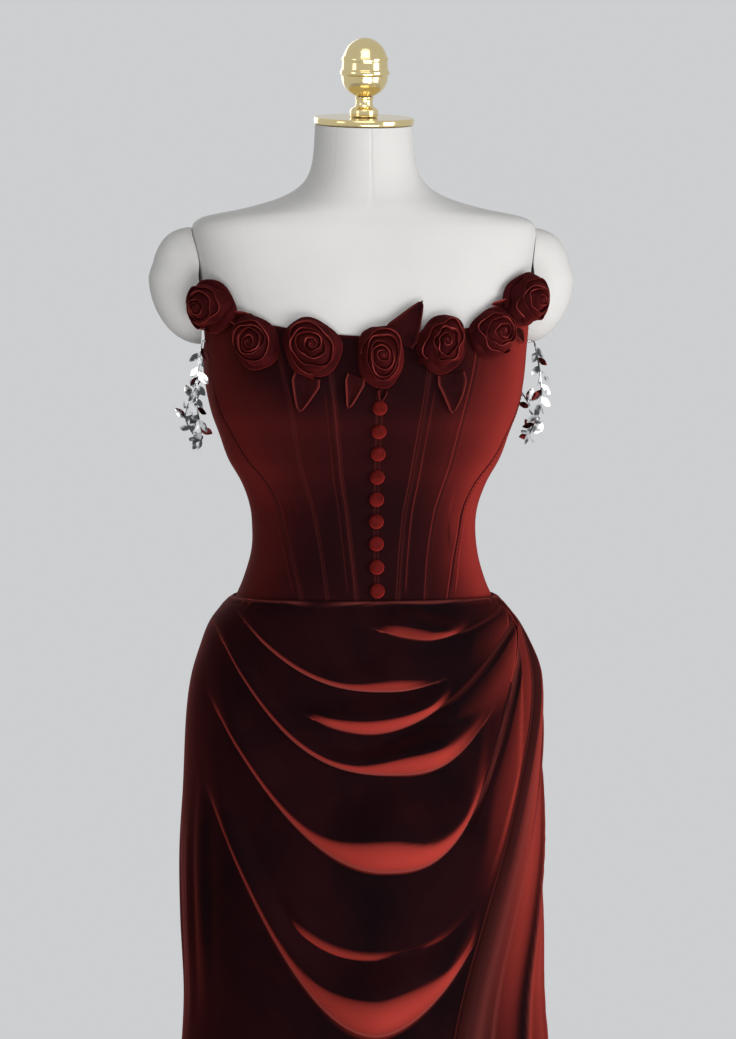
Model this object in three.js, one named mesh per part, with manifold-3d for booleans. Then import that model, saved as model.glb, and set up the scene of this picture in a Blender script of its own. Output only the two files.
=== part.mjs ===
// A strapless mermaid gown in velvet, worn by a limbless dress form that stands on a pole and base.
// Millimetres, +Z up. The front faces -Y and the origin is under the middle of the base.
// Angles go round the body from the centre front: 0 is the front, +90 degrees is +X, 180 is the back.

import * as THREE from "three";
import Module from "manifold-3d";
import { mergeVertices } from "three/addons/utils/BufferGeometryUtils.js";

// ---- driving dimensions ----

const CLOTH = 2;                 // thickness of the velvet with its backing
const EASE = 3.8;                // bodice's outer face from the form's surface
const SEAT = 0.4;                // gap between pieces that lie on each other
const WAIST_SEAT = 1;            // gap between the bodice and the skirt's top edge
const SEAM_SHIFT = 0.17;         // each panel's edge from its seam line
const SEAM_RADIUS = 100;         // distance from the axis at which the seams keep that gap
const SHARP_SEAM = 0.04;         // degrees from the seam line at the centre front and back
const TURN_STEP = 0.02;          // small turn and rise over which a slope is measured
const RISE_STEP = 5;

const BODICE_BOTTOM = 1000;
const SKIRT_TOP = 1011;
const SKIRT_SEAT_DROP = 9;       // height in which the skirt leaves the bodice
const HEM = 12;

const POLE_RADIUS = 16;
const BASE_RADIUS = 180;
const BASE_HEIGHT = 26;
const FORM_BOTTOM = 745;
const NECK_TILT = THREE.MathUtils.degToRad(7);
const NECK_TOP = 1479;
const NECK_BEND_START = 1425;    // height above which the neck leans towards its tilted top
const PLATE_RADIUS = 49.8;
const PLATE_THICKNESS = 7;

const BUTTON_RADIUS = 7.2;
const BUTTON_SEAT = 0.6;         // gap under a button, on the curved cloth of the front edges
const BUTTON_HEIGHTS = [1200, 1177, 1155, 1132, 1110, 1088, 1066, 1043, 1020];

// Rings of the dress form, from its base up.
const TORSO = [
  { z: 745, side: 148, front: 90, back: 98, power: 2.2 },
  { z: 757, side: 157, front: 98, back: 108, power: 2.2 },
  { z: 790, side: 164, front: 104, back: 117, power: 2.2 },
  { z: 845, side: 166, front: 106, back: 123, power: 2.2 },
  { z: 895, side: 163, front: 105, back: 122, power: 2.2 },
  { z: 931, side: 157, front: 102, back: 117, power: 2.2 },
  { z: 961, side: 148, front: 99, back: 110, power: 2.2 },
  { z: 985, side: 138, front: 95, back: 104, power: 2.2 },
  { z: 1008, side: 125.5, front: 92, back: 96, power: 2.2 },
  { z: 1027, side: 117, front: 88, back: 89, power: 2.2 },
  { z: 1051, side: 110, front: 84, back: 80, power: 2.2 },
  { z: 1075, side: 108, front: 82, back: 74, power: 2.2 },
  { z: 1099, side: 110, front: 82.5, back: 72, power: 2.2 },
  { z: 1123, side: 118.5, front: 86, back: 73, power: 2.25 },
  { z: 1147, side: 132, front: 92, back: 76, power: 2.3 },
  { z: 1171, side: 140.5, front: 98, back: 79, power: 2.4 },
  { z: 1195, side: 149, front: 104.5, back: 82, power: 2.45 },
  { z: 1225, side: 155, front: 108.5, back: 85, power: 2.5 },
  { z: 1258, side: 158, front: 106.5, back: 88, power: 2.55 },
  { z: 1292, side: 161, front: 98, back: 91, power: 2.7 },
  { z: 1325, side: 165, front: 87, back: 90, power: 2.9 },
  { z: 1356, side: 169.5, front: 76, back: 86, power: 3 },
  { z: 1377, side: 171, front: 69, back: 79, power: 2.9 },
  { z: 1387, side: 160, front: 65, back: 75, power: 2.6 },
  { z: 1396, side: 118, front: 62, back: 69, power: 2.3 },
  { z: 1407, side: 82, front: 58, back: 62, power: 2.1 },
  { z: 1421, side: 61, front: 55, back: 56, power: 2 },
  { z: 1440, side: 52, front: 53, back: 52, power: 2 },
  { z: 1479, side: 48.5, front: 50, back: 48, power: 2 },
];

// Fullness of the bust on each side of the centre front.
const BUST = { angle: 25, height: 1222, width: 17, rise: 46, depth: 6 };

// Sections of the skirt's outer face between its folds, from the hem up.
const SKIRT = [
  { z: 12, side: 342, front: 288, back: 306, power: 2 },
  { z: 80, side: 322, front: 266, back: 284, power: 2 },
  { z: 150, side: 298, front: 240, back: 256, power: 2 },
  { z: 220, side: 272, front: 212, back: 226, power: 2 },
  { z: 290, side: 246, front: 184, back: 196, power: 2.05 },
  { z: 360, side: 222, front: 158, back: 168, power: 2.1 },
  { z: 430, side: 203, front: 136, back: 144, power: 2.15 },
  { z: 500, side: 190, front: 120, back: 127, power: 2.2 },
  { z: 571, side: 183, front: 112, back: 118, power: 2.2 },
  { z: 619, side: 180, front: 111, back: 116, power: 2.2 },
  { z: 691, side: 182, front: 114, back: 120, power: 2.2 },
  { z: 763, side: 183.5, front: 116, back: 127, power: 2.2 },
  { z: 835, side: 181, front: 115, back: 131, power: 2.2 },
  { z: 895, side: 178, front: 112, back: 129, power: 2.2 },
  { z: 931, side: 173, front: 109, back: 124, power: 2.2 },
  { z: 961, side: 164, front: 106, back: 118, power: 2.2 },
  { z: 985, side: 154.5, front: 103, back: 112, power: 2.2 },
  { z: 1003, side: 141, front: 99.5, back: 105, power: 2.2 },
  { z: 1011, side: 136, front: 98, back: 102, power: 2.2 },
];

// Heights of the rows of points on the skirt's back.
const BACK_ROWS = [
  12, 85, 165, 245, 325, 405, 480, 545, 598, 660, 731, 790, 851, 909, 962, 1003, 1011,
];

// Hanging drapes across the skirt, from the lowest up: each line runs from a left end down to its
// lowest point and up again, and bendLeft and bendRight say how late it rises on each side. The
// cloth stands out by depth at the belly, a band above the line, and by armDepth and armBand away
// from bellyX. It falls back within roll above the belly, and dies away in fadeRight at its right.
const FRONT_DRAPES = [
  { leftX: -168, leftZ: 838, lowX: -4, lowZ: 587, rightX: 84, rightZ: 655, bendLeft: 1.9, bendRight: 1.8,
    depth: 32, armDepth: 8, band: 34, armBand: 4, bellyX: 2, spread: 54, roll: 112, fadeRight: 26 },
  { leftX: -92, leftZ: 708, lowX: -5, lowZ: 660, rightX: 48, rightZ: 672, bendLeft: 2, bendRight: 2,
    depth: 7, armDepth: 1, band: 15, armBand: 8, bellyX: -8, spread: 40, roll: 50, fadeRight: 30 },
  { leftX: 44, leftZ: 746, lowX: 52, lowZ: 745, rightX: 150, rightZ: 940, bendLeft: 1, bendRight: 2.1,
    depth: 7, armDepth: 5, band: 10, armBand: 6, bellyX: 110, spread: 50, roll: 40, fadeRight: 8 },
  { leftX: -165, leftZ: 925, lowX: 6, lowZ: 749, rightX: 148, rightZ: 965, bendLeft: 2.05, bendRight: 2.7,
    depth: 30, armDepth: 8, band: 31, armBand: 4, bellyX: 8, spread: 54, roll: 96, fadeRight: 6 },
  { leftX: -160, leftZ: 1000, lowX: 20, lowZ: 844, rightX: 114, rightZ: 900, bendLeft: 2.8, bendRight: 2.4,
    depth: 22, armDepth: 7, band: 20, armBand: 4, bellyX: 44, spread: 50, roll: 66, fadeRight: 18 },
  { leftX: -75, leftZ: 902, lowX: -10, lowZ: 884, rightX: 147, rightZ: 1000, bendLeft: 1.8, bendRight: 1.95,
    depth: 15, armDepth: 7, band: 12, armBand: 5, bellyX: 0, spread: 50, roll: 40, fadeRight: 6 },
  { leftX: -138, leftZ: 1005, lowX: 10, lowZ: 925, rightX: 62, rightZ: 929, bendLeft: 2.6, bendRight: 2,
    depth: 12, armDepth: 6, band: 10, armBand: 4, bellyX: 18, spread: 36, roll: 50, fadeRight: 34 },
  { leftX: -12, leftZ: 986, lowX: 50, lowZ: 973, rightX: 140, rightZ: 1008, bendLeft: 1.5, bendRight: 1.3,
    depth: 9, armDepth: 5, band: 11, armBand: 5, bellyX: 36, spread: 34, roll: 30, fadeRight: 8 },
];
const BACK_DRAPES = [
  { leftX: -138, leftZ: 990, lowX: -8, lowZ: 936, rightX: 132, rightZ: 988, bendLeft: 2.1, bendRight: 2.1,
    depth: 9, armDepth: 4, band: 14, armBand: 5, bellyX: -8, spread: 60, roll: 50, fadeRight: 16 },
  { leftX: -152, leftZ: 946, lowX: 12, lowZ: 862, rightX: 150, rightZ: 940, bendLeft: 2, bendRight: 2.1,
    depth: 13, armDepth: 6, band: 20, armBand: 6, bellyX: 12, spread: 60, roll: 60, fadeRight: 16 },
  { leftX: -160, leftZ: 868, lowX: -6, lowZ: 762, rightX: 158, rightZ: 872, bendLeft: 2, bendRight: 2,
    depth: 15, armDepth: 6, band: 24, armBand: 6, bellyX: -6, spread: 60, roll: 70, fadeRight: 16 },
  { leftX: -160, leftZ: 762, lowX: 10, lowZ: 652, rightX: 150, rightZ: 748, bendLeft: 1.9, bendRight: 2,
    depth: 14, armDepth: 6, band: 26, armBand: 6, bellyX: 10, spread: 60, roll: 74, fadeRight: 16 },
];
const DRAPE_FADE = 16;           // length in which a drape begins at its left end
const DRAPE_LIP = 3;             // the cloth turns in below a drape's line within this
const DRAPE_LIP_SHARE = 0.16;    // share of its depth that a drape has at its line
const DRAPE_UNDER_BEND = 1.3;    // how round a drape's underside is
const DRAPE_ARM_ROLL = 0.45;     // share of its roll that a drape has away from its belly
const DRAPE_TUCK = 0.12;         // radians in which the drapes flatten before the cascade's edge

// Rows of points on the draped front: some follow the lines of these drapes, and the rest are spread
// between them. rowsBelow counts the steps up to a drape's foot.
const ROW_DRAPES = [
  { drape: 0, rowsBelow: 8 },
  { drape: 3, rowsBelow: 3 },
  { drape: 4, rowsBelow: 2 },
  { drape: 5, rowsBelow: 1 },
  { drape: 6, rowsBelow: 1 },
];
const ROWS_TO_WAIST = 3;
const ROW_GAP = 2.5;             // least height between two rows, and where drapes meet at the waist
const TIGHT_ROW_GAP = 0.8;
const TIGHT_BELOW_WAIST = 250;   // height below the waist from which the rows close up
const SIDE_SEAMS = { left: -96, right: 104 };
const SKIRT_COLUMNS = { front: 25, cascade: 12, backRight: 11, backLeft: 12 };

// The cascade: long folds that start at the right hip and swing forward to the hem, in degrees.
// The first is the front edge of the cascade, where its panel is sewn to the draped front.
const CASCADE = [
  { hem: 6, hip: 88, bend: 2.9, depth: 12, roll: 34, lip: 9 },
  { hem: 20, hip: 121, bend: 4.2, depth: 12, roll: 34, lip: 14 },
  { hem: 38, hip: 127, bend: 3.6, depth: 11, roll: 38, lip: 15 },
  { hem: 62, hip: 131, bend: 3, depth: 9, roll: 42, lip: 17 },
];
const CASCADE_FADE = { start: 1000, end: 930 };   // heights between which these folds appear

// Flutes of the flared hem: the angle of each ridge, and how far it stands out at the hem.
const FLUTES = [
  { angle: -163, depth: 34 },
  { angle: -134, depth: 38 },
  { angle: -107, depth: 33 },
  { angle: -80, depth: 36 },
  { angle: -53, depth: 34 },
  { angle: -27, depth: 37 },
  { angle: -4, depth: 28 },
  { angle: 20, depth: 34 },
  { angle: 42, depth: 32 },
  { angle: 67, depth: 36 },
  { angle: 93, depth: 33 },
  { angle: 119, depth: 37 },
  { angle: 146, depth: 34 },
  { angle: 171, depth: 36 },
];
const FLUTE_WIDTH = 12.5;        // degrees from a flute's ridge to its foot
const FLUTE_START = 600;

// Side creases that hold the skirt close above the knee.
const SIDE_CREASES = [
  { angle: -66, low: 590, high: 850, depth: 4, width: 7 },
  { angle: -78, low: 570, high: 800, depth: 3, width: 6 },
  { angle: -101, low: 560, high: 820, depth: 4, width: 8 },
  { angle: 128, low: 560, high: 800, depth: 4, width: 8 },
];

// Vertical seams of the bodice in degrees at each height, mirrored left and right.
const SEAMS = [
  { z: 1000, centre: 0, channel: 6.6, princess: 18.6, underarm: 29, side: 96, sideBack: 146, back: 180 },
  { z: 1070, centre: 0, channel: 11.1, princess: 27.3, underarm: 47, side: 96, sideBack: 144, back: 180 },
  { z: 1120, centre: 0, channel: 13.1, princess: 31.2, underarm: 54, side: 96, sideBack: 142, back: 180 },
  { z: 1162, centre: 0, channel: 12.2, princess: 29.8, underarm: 66, side: 96, sideBack: 140, back: 180 },
  { z: 1200, centre: 0, channel: 12, princess: 29.2, underarm: 74, side: 96, sideBack: 138, back: 180 },
  { z: 1258, centre: 0, channel: 13, princess: 32, underarm: 79, side: 96, sideBack: 134, back: 180 },
  { z: 1325, centre: 0, channel: 14, princess: 34, underarm: 81, side: 96, sideBack: 132, back: 180 },
];
const NECKLINE_REFERENCE = 1260; // height at which a column's angle sets its top

// The neckline: height of the top edge at each angle from the centre front.
const NECKLINE = [
  { angle: 0, z: 1269 },
  { angle: 8, z: 1271 },
  { angle: 25, z: 1277 },
  { angle: 37, z: 1283 },
  { angle: 48, z: 1291 },
  { angle: 57, z: 1304 },
  { angle: 63, z: 1315 },
  { angle: 68, z: 1319 },
  { angle: 73, z: 1315 },
  { angle: 78, z: 1300 },
  { angle: 84, z: 1272 },
  { angle: 90, z: 1259 },
  { angle: 96, z: 1254 },
  { angle: 110, z: 1250 },
  { angle: 140, z: 1242 },
  { angle: 180, z: 1236 },
];

// Bodice panels from the centre front to the back; a casing is a boning channel along the first edge.
const PANELS = [
  { name: "front", from: "centre", to: "channel", columns: 2, casing: 0 },
  { name: "middle", from: "channel", to: "princess", columns: 2, casing: 8 },
  { name: "side_front", from: "princess", to: "underarm", columns: 4, casing: 0 },
  { name: "side", from: "underarm", to: "side", columns: 6, casing: 8 },
  { name: "side_back", from: "side", to: "sideBack", columns: 4, casing: 0 },
  { name: "back", from: "sideBack", to: "back", columns: 4, casing: 0 },
];
const BODICE_ROWS = 11;
const CASING_RISE = 0.8;
const CASING_SHOULDER = 1.2;     // width of each sloping edge of a casing
const CASING_FADE = 16;          // height above the waist in which a casing flattens
const CASING_TOP = 1222;         // height above which the casings lie flat under the roses

// Rolled velvet roses along the neckline: centre, half-width and half-height on the cloth, height.
const ROSES = [
  { x: -154, z: 1299, wide: 25, tall: 26, rise: 19, spin: 200, turns: 2.3 },
  { x: -118, z: 1263, wide: 24, tall: 27, rise: 19, spin: 20, turns: 2.5 },
  { x: -67, z: 1258, wide: 28, tall: 29, rise: 20, spin: 130, turns: 2.5 },
  { x: 1, z: 1249, wide: 31, tall: 30, rise: 21, spin: 250, turns: 2.6 },
  { x: 62, z: 1261, wide: 23, tall: 29, rise: 19, spin: 80, turns: 2.2 },
  { x: 114, z: 1272, wide: 25, tall: 24.5, rise: 18, spin: 310, turns: 2.4 },
  { x: 148, z: 1305, wide: 24, tall: 26, rise: 19, spin: 170, turns: 2.3 },
];
const ROSE_RINGS = [0.14, 0.28, 0.42, 0.55, 0.68, 0.8, 0.91, 1];
const ROSE_UNDERSIDE = [0.42, 0.84];
const ROSE_SEGMENTS = 14;
const ROSE_RIDGE = 3.6;          // depth of the valleys between the rolled rims
const ROSE_SCALLOP = { share: 0.03, count: 5 };   // waves round a rose's outline
const ROSE_DOME = 0.82;          // how far a rose's top falls towards its edge
const ROSE_EDGE = { start: 0.9, end: 1.02, height: 1.6 };   // where the outer petal turns under

// Velvet leaves that come out from under the roses: where each leaves its rose, and its tip.
const LEAVES = [
  { fromX: -107, fromZ: 1295.5, toX: -138, toZ: 1295, width: 11 },
  { fromX: -67, fromZ: 1225.5, toX: -80, toZ: 1198, width: 24 },
  { fromX: -23, fromZ: 1226, toX: -35, toZ: 1202, width: 18 },
  { fromX: 23.5, fromZ: 1273, toX: 39.5, toZ: 1303, width: 24 },
  { fromX: 67, fromZ: 1230, toX: 77, toZ: 1196, width: 25 },
  { fromX: 127.4, fromZ: 1304, toX: 106, toZ: 1302, width: 11 },
  { fromX: 140, fromZ: 1272, toX: 151, toZ: 1264, width: 8 },
  { fromX: 3, fromZ: 1217, toX: 1, toZ: 1208.5, width: 6 },
];
const LEAF_STATIONS = 4;
const LEAF_CUP = 1;              // how far a leaf's tip lifts off the cloth
const LEAF_RIM = 0.4;            // how far its edges lift
const LEAF_OUTLINE = { start: 0.22, bend: 0.8, tip: 0.6 };   // where its curve starts, and its point

// The leaf chain that hangs in a loop under each shoulder cap, for +X; the other side mirrors it.
// Its ends are sewn to the bodice in front of the arm and behind it.
const CHAIN_FRONT = { angle: 77, z: 1264 };
const CHAIN_BACK = { angle: 118, z: 1238 };
const CHAIN_STANDOFF = 7;        // how far each end runs straight out from the cloth
const CHAIN_LOOP = [
  { x: 172, y: -44, z: 1205 },
  { x: 165, y: -20, z: 1173 },
  { x: 168, y: 6, z: 1168 },
  { x: 176, y: 30, z: 1192 },
];
const CHAIN_WIRE = 1.1;
const CHAIN_STEPS = 18;
const CHAIN_SIDES = 4;
const CHAIN_LEAVES = { count: 15, first: 0.06, last: 0.93 };   // shares of the wire's length
const CHAIN_LEAF = { length: 12, width: 5.2, thickness: 1.8, splay: 38, belly: 0.4, root: 0.6 };

// Shoulder caps: rounded covers over the form's armholes.
const CAP = { y: 10, z: 1319, halfDepth: 36, halfHeight: 58, bulge: 45, gap: 0.9, clearance: 4.6 };
const CAP_SEAT_HEIGHT = 1345;    // the caps lie on the form above this height and clear the gown below
const CAP_STEP = 20;
const CAP_RINGS = 4;
const CAP_SEGMENTS = 14;
const CAP_REACH = 0.98;          // share of the form's depth within which a cap finds its surface

// Sides of each turned piece and of the form.
const TURNED = { torso: 28, plate: 26, stem: 14, ball: 13, pole: 20, base: 26, button: 10 };

// Profiles turned about an axis: radius and height of each corner.
const BASE_PROFILE = [
  { r: 0, h: 0 }, { r: 176, h: 0 }, { r: BASE_RADIUS, h: 4 }, { r: BASE_RADIUS, h: 9 },
  { r: 174, h: 13 }, { r: 60, h: 18 }, { r: 28, h: BASE_HEIGHT }, { r: 0, h: BASE_HEIGHT },
];
const PLATE_PROFILE = [
  { r: 0, h: 0 }, { r: 48, h: 0 }, { r: PLATE_RADIUS, h: 2 }, { r: PLATE_RADIUS, h: 5 },
  { r: 48, h: PLATE_THICKNESS }, { r: 0, h: PLATE_THICKNESS },
];
const STEM_PROFILE = [
  { r: 0, h: 0 }, { r: 13, h: 0 }, { r: 14, h: 2 }, { r: 14, h: 7 }, { r: 12, h: 9 },
  { r: 8.6, h: 12 }, { r: 9.2, h: 20 }, { r: 0, h: 20 },
];
const BALL_PROFILE = [
  { r: 0, h: 0 }, { r: 9, h: 0 }, { r: 17, h: 5 }, { r: 22, h: 13 }, { r: 23.6, h: 20 },
  { r: 24.4, h: 22 }, { r: 24.4, h: 25 }, { r: 23.4, h: 27 }, { r: 22.4, h: 35 },
  { r: 22.8, h: 37 }, { r: 22.2, h: 40 }, { r: 17.5, h: 49 }, { r: 10, h: 55.5 }, { r: 0, h: 58 },
];
const BUTTON_PROFILE = [
  { r: 0, h: 0 }, { r: BUTTON_RADIUS, h: 0 }, { r: 6.7, h: 3.4 }, { r: 4, h: 5.8 }, { r: 0, h: 6.6 },
];

// ---- materials ----

const VELVET = { color: 0x7a1a1c, roughness: 0.85, metalness: 0 };
const ROSE_VELVET = { color: 0x8a2022, roughness: 0.85, metalness: 0 };
const FORM_COVER = { color: 0xdedcd6, roughness: 0.8, metalness: 0 };
const BRASS = { color: 0xd9c48c, roughness: 0.25, metalness: 1 };
const SILVER = { color: 0xd5d8da, roughness: 0.12, metalness: 1 };

// ---- helpers ----

const part = new THREE.Group();
const degrees = THREE.MathUtils.degToRad;
const mix = THREE.MathUtils.lerp;
const smooth = THREE.MathUtils.smoothstep;

function addMesh(name, geometry, finish, parent = part) {
  const mesh = new THREE.Mesh(geometry, new THREE.MeshStandardMaterial(finish));
  mesh.name = name;
  parent.add(mesh);
  return mesh;
}

function meshGeometry(points, triangles) {
  const geometry = new THREE.BufferGeometry();
  const flat = points.flatMap((point) => [point.x, point.y, point.z]);
  geometry.setAttribute("position", new THREE.Float32BufferAttribute(flat, 3));
  geometry.setIndex(triangles.flat());
  return geometry;
}

// A smooth curve through one column of a table, by another column.
function sample(table, from, to, at) {
  const last = table.length - 1;
  if (at <= table[0][from]) return table[0][to];
  if (at >= table[last][from]) return table[last][to];
  let i = 0;
  while (table[i + 1][from] < at) i += 1;
  const slope = (a, b) => (table[b][to] - table[a][to]) / (table[b][from] - table[a][from]);
  const startSlope = slope(Math.max(i - 1, 0), i + 1);
  const endSlope = slope(i, Math.min(i + 2, last));
  const span = table[i + 1][from] - table[i][from];
  const t = (at - table[i][from]) / span;
  const start = table[i][to];
  const end = table[i + 1][to];
  const rise = t * t * (3 - 2 * t);
  return start + (end - start) * rise
    + span * t * (1 - t) * (startSlope * (1 - t) - endSlope * t);
}

function sectionAt(table, z) {
  const section = { z };
  for (const column of ["side", "front", "back", "power"]) {
    section[column] = sample(table, "z", column, z);
  }
  return section;
}

function grown(section, by) {
  return {
    ...section,
    side: section.side + by,
    front: section.front + by,
    back: section.back + by,
  };
}

function mixedSections(a, b, weight) {
  const section = { z: a.z };
  for (const column of ["side", "front", "back", "power"]) {
    section[column] = mix(a[column], b[column], weight);
  }
  return section;
}

// A point of a rounded section: a superellipse with its own depth in front and behind.
function ringPoint(section, angle) {
  const across = Math.sin(angle);
  const along = Math.cos(angle);
  const depth = along > 0 ? section.front : section.back;
  const bend = 2 / section.power;
  return new THREE.Vector3(
    section.side * Math.sign(across) * Math.abs(across) ** bend,
    -depth * Math.sign(along) * Math.abs(along) ** bend,
    section.z,
  );
}

// The angle of the front point of a section that lies at x.
function angleAtX(section, x) {
  const share = Math.min(Math.abs(x) / section.side, 1);
  return Math.sign(x) * Math.asin(share ** (section.power / 2));
}

function bustFullness(angle, z) {
  const turn = (THREE.MathUtils.radToDeg(Math.abs(angle)) - BUST.angle) / BUST.width;
  const height = (z - BUST.height) / BUST.rise;
  return BUST.depth * Math.exp(-turn * turn - height * height);
}

function torsoPoint(angle, z, ease = 0) {
  const section = grown(sectionAt(TORSO, z), ease);
  const point = ringPoint(section, angle);
  point.y -= bustFullness(angle, z);
  return point;
}

function bodicePoint(angle, z) {
  return torsoPoint(angle, z, EASE);
}

// Distance round the bodice for each radian at an angle and height.
function bodiceReach(angle, z) {
  const ahead = bodicePoint(angle + TURN_STEP, z);
  return ahead.distanceTo(bodicePoint(angle - TURN_STEP, z)) / (2 * TURN_STEP);
}

// ---- the skirt's folds ----

// Height of a drape's line at x, and how steep it is there.
function drapeLine(drape, at) {
  const x = THREE.MathUtils.clamp(at, drape.leftX, drape.rightX);
  const isLeft = x < drape.lowX;
  const reach = (isLeft ? drape.leftX : drape.rightX) - drape.lowX;
  const climb = (isLeft ? drape.leftZ : drape.rightZ) - drape.lowZ;
  const bend = isLeft ? drape.bendLeft : drape.bendRight;
  const share = (x - drape.lowX) / reach;
  return {
    height: drape.lowZ + climb * share ** bend,
    steepness: (climb * bend * share ** (bend - 1)) / reach,
  };
}

// A drape's share of its depth at a distance above its line.
function drapeProfile(distance, band, roll) {
  if (distance < 0) return DRAPE_LIP_SHARE * Math.max(1 + distance / DRAPE_LIP, 0);
  if (distance > band) return 1 - smooth(distance, band, band + roll);
  return mix(1, DRAPE_LIP_SHARE, (1 - distance / band) ** DRAPE_UNDER_BEND);
}

function drapeRelief(drapes, x, z) {
  let relief = 0;
  for (const drape of drapes) {
    const line = drapeLine(drape, x);
    const distance = (z - line.height) / Math.hypot(1, line.steepness);
    const near = Math.exp(-(((x - drape.bellyX) / drape.spread) ** 2));
    const band = mix(drape.armBand, drape.band, near);
    const depth = mix(drape.armDepth, drape.depth, near);
    const roll = mix(DRAPE_ARM_ROLL, 1, near) * drape.roll;
    const fade = smooth(x - drape.leftX, 0, DRAPE_FADE) * smooth(drape.rightX - x, 0, drape.fadeRight);
    relief = Math.max(relief, depth * fade * drapeProfile(distance, band, roll));
  }
  return relief;
}

function cascadeAngle(fold, z) {
  const share = Math.max((z - HEM) / (SKIRT_TOP - HEM), 0);
  return degrees(mix(fold.hem, fold.hip, share ** fold.bend));
}

function cascadeRelief(angle, z, radius) {
  const shown = 1 - smooth(z, CASCADE_FADE.end, CASCADE_FADE.start);
  let relief = 0;
  for (const fold of CASCADE) {
    const distance = (angle - cascadeAngle(fold, z)) * radius;
    const front = Math.sin((THREE.MathUtils.clamp(distance / fold.lip, 0, 1) * Math.PI) / 2);
    const behind = 1 - smooth(distance - fold.lip, 0, fold.roll);
    relief = Math.max(relief, fold.depth * (distance < fold.lip ? front : behind));
  }
  return relief * shown;
}

function angleBetween(a, b) {
  return Math.abs(THREE.MathUtils.euclideanModulo(a - b + 180, 360) - 180);
}

function fluteRelief(turn, z) {
  const opened = smooth(FLUTE_START - z, 0, FLUTE_START - HEM);
  let relief = 0;
  for (const flute of FLUTES) {
    const share = angleBetween(turn, flute.angle) / FLUTE_WIDTH;
    if (share < 1) relief += flute.depth * opened * Math.cos((share * Math.PI) / 2) ** 2;
  }
  return relief;
}

function creaseRelief(turn, z) {
  let relief = 0;
  for (const crease of SIDE_CREASES) {
    if (z < crease.low || z > crease.high) continue;
    const share = angleBetween(turn, crease.angle) / crease.width;
    const along = Math.sin((Math.PI * (z - crease.low)) / (crease.high - crease.low));
    if (share < 1) relief += crease.depth * along * Math.cos((share * Math.PI) / 2) ** 2;
  }
  return relief;
}

function skirtPoint(angle, z) {
  const seated = grown(sectionAt(TORSO, z), EASE + WAIST_SEAT + CLOTH);
  const away = smooth(SKIRT_TOP - z, 0, SKIRT_SEAT_DROP);
  const section = mixedSections(seated, sectionAt(SKIRT, z), away);
  const point = ringPoint(section, angle);
  const ahead = ringPoint(section, angle + TURN_STEP);
  const behind = ringPoint(section, angle - TURN_STEP);
  const outward = new THREE.Vector3(ahead.y - behind.y, behind.x - ahead.x, 0).normalize();
  const turn = THREE.MathUtils.radToDeg(angle);
  const edge = cascadeAngle(CASCADE[0], z);
  const isFront = Math.cos(angle) > 0;
  const draped = isFront ? 1 - smooth(angle, edge - DRAPE_TUCK, edge) : 1;
  const relief = draped * drapeRelief(isFront ? FRONT_DRAPES : BACK_DRAPES, point.x, z)
    + cascadeRelief(angle, z, Math.hypot(point.x, point.y))
    + fluteRelief(turn, z)
    + creaseRelief(turn, z);
  return point.addScaledVector(outward, relief * away);
}

// ---- walls of cloth ----

function normalOf(surface, angle, z) {
  const along = surface(angle + TURN_STEP, z).sub(surface(angle - TURN_STEP, z));
  const up = surface(angle, z + RISE_STEP).sub(surface(angle, z - RISE_STEP));
  return along.cross(up).normalize();
}

// A panel of cloth: a wall whose grid runs from its first seam to its second and from bottom to top.
// spot gives the angle and height of a grid point, and raise what stands up on its outer face.
function clothPanel(columns, rows, surface, spot, raise = () => 0) {
  const outer = [];
  const inner = [];
  for (let row = 0; row <= rows; row += 1) {
    for (let column = 0; column <= columns; column += 1) {
      const { angle, z } = spot(column, row);
      const point = surface(angle, z);
      const normal = normalOf(surface, angle, z);
      outer.push(point.clone().addScaledVector(normal, raise(column, z)));
      inner.push(point.clone().addScaledVector(normal, -CLOTH));
    }
  }
  const triangles = [];
  const wide = columns + 1;
  const shift = outer.length;
  const quad = (a, b, c, d) => triangles.push([a, b, c], [a, c, d]);
  for (let row = 0; row < rows; row += 1) {
    for (let column = 0; column < columns; column += 1) {
      const a = row * wide + column;
      quad(a, a + 1, a + wide + 1, a + wide);
      quad(a + shift, a + wide + shift, a + wide + 1 + shift, a + 1 + shift);
    }
    const left = row * wide;
    const right = left + columns;
    quad(left, left + wide, left + wide + shift, left + shift);
    quad(right, right + shift, right + wide + shift, right + wide);
  }
  for (let column = 0; column < columns; column += 1) {
    const top = rows * wide + column;
    quad(column, column + shift, column + 1 + shift, column + 1);
    quad(top, top + 1, top + 1 + shift, top + shift);
  }
  return meshGeometry(outer.concat(inner), triangles);
}

// ---- the bodice ----

// The seam's angle moved onto a panel that lies on the given side of it.
function panelEdge(seam, z, inward) {
  const line = sample(SEAMS, "z", seam, z);
  const isSharp = seam === "centre" || seam === "back";
  const shift = isSharp ? degrees(SHARP_SEAM) : SEAM_SHIFT / SEAM_RADIUS;
  return degrees(line) + inward * shift;
}

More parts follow.
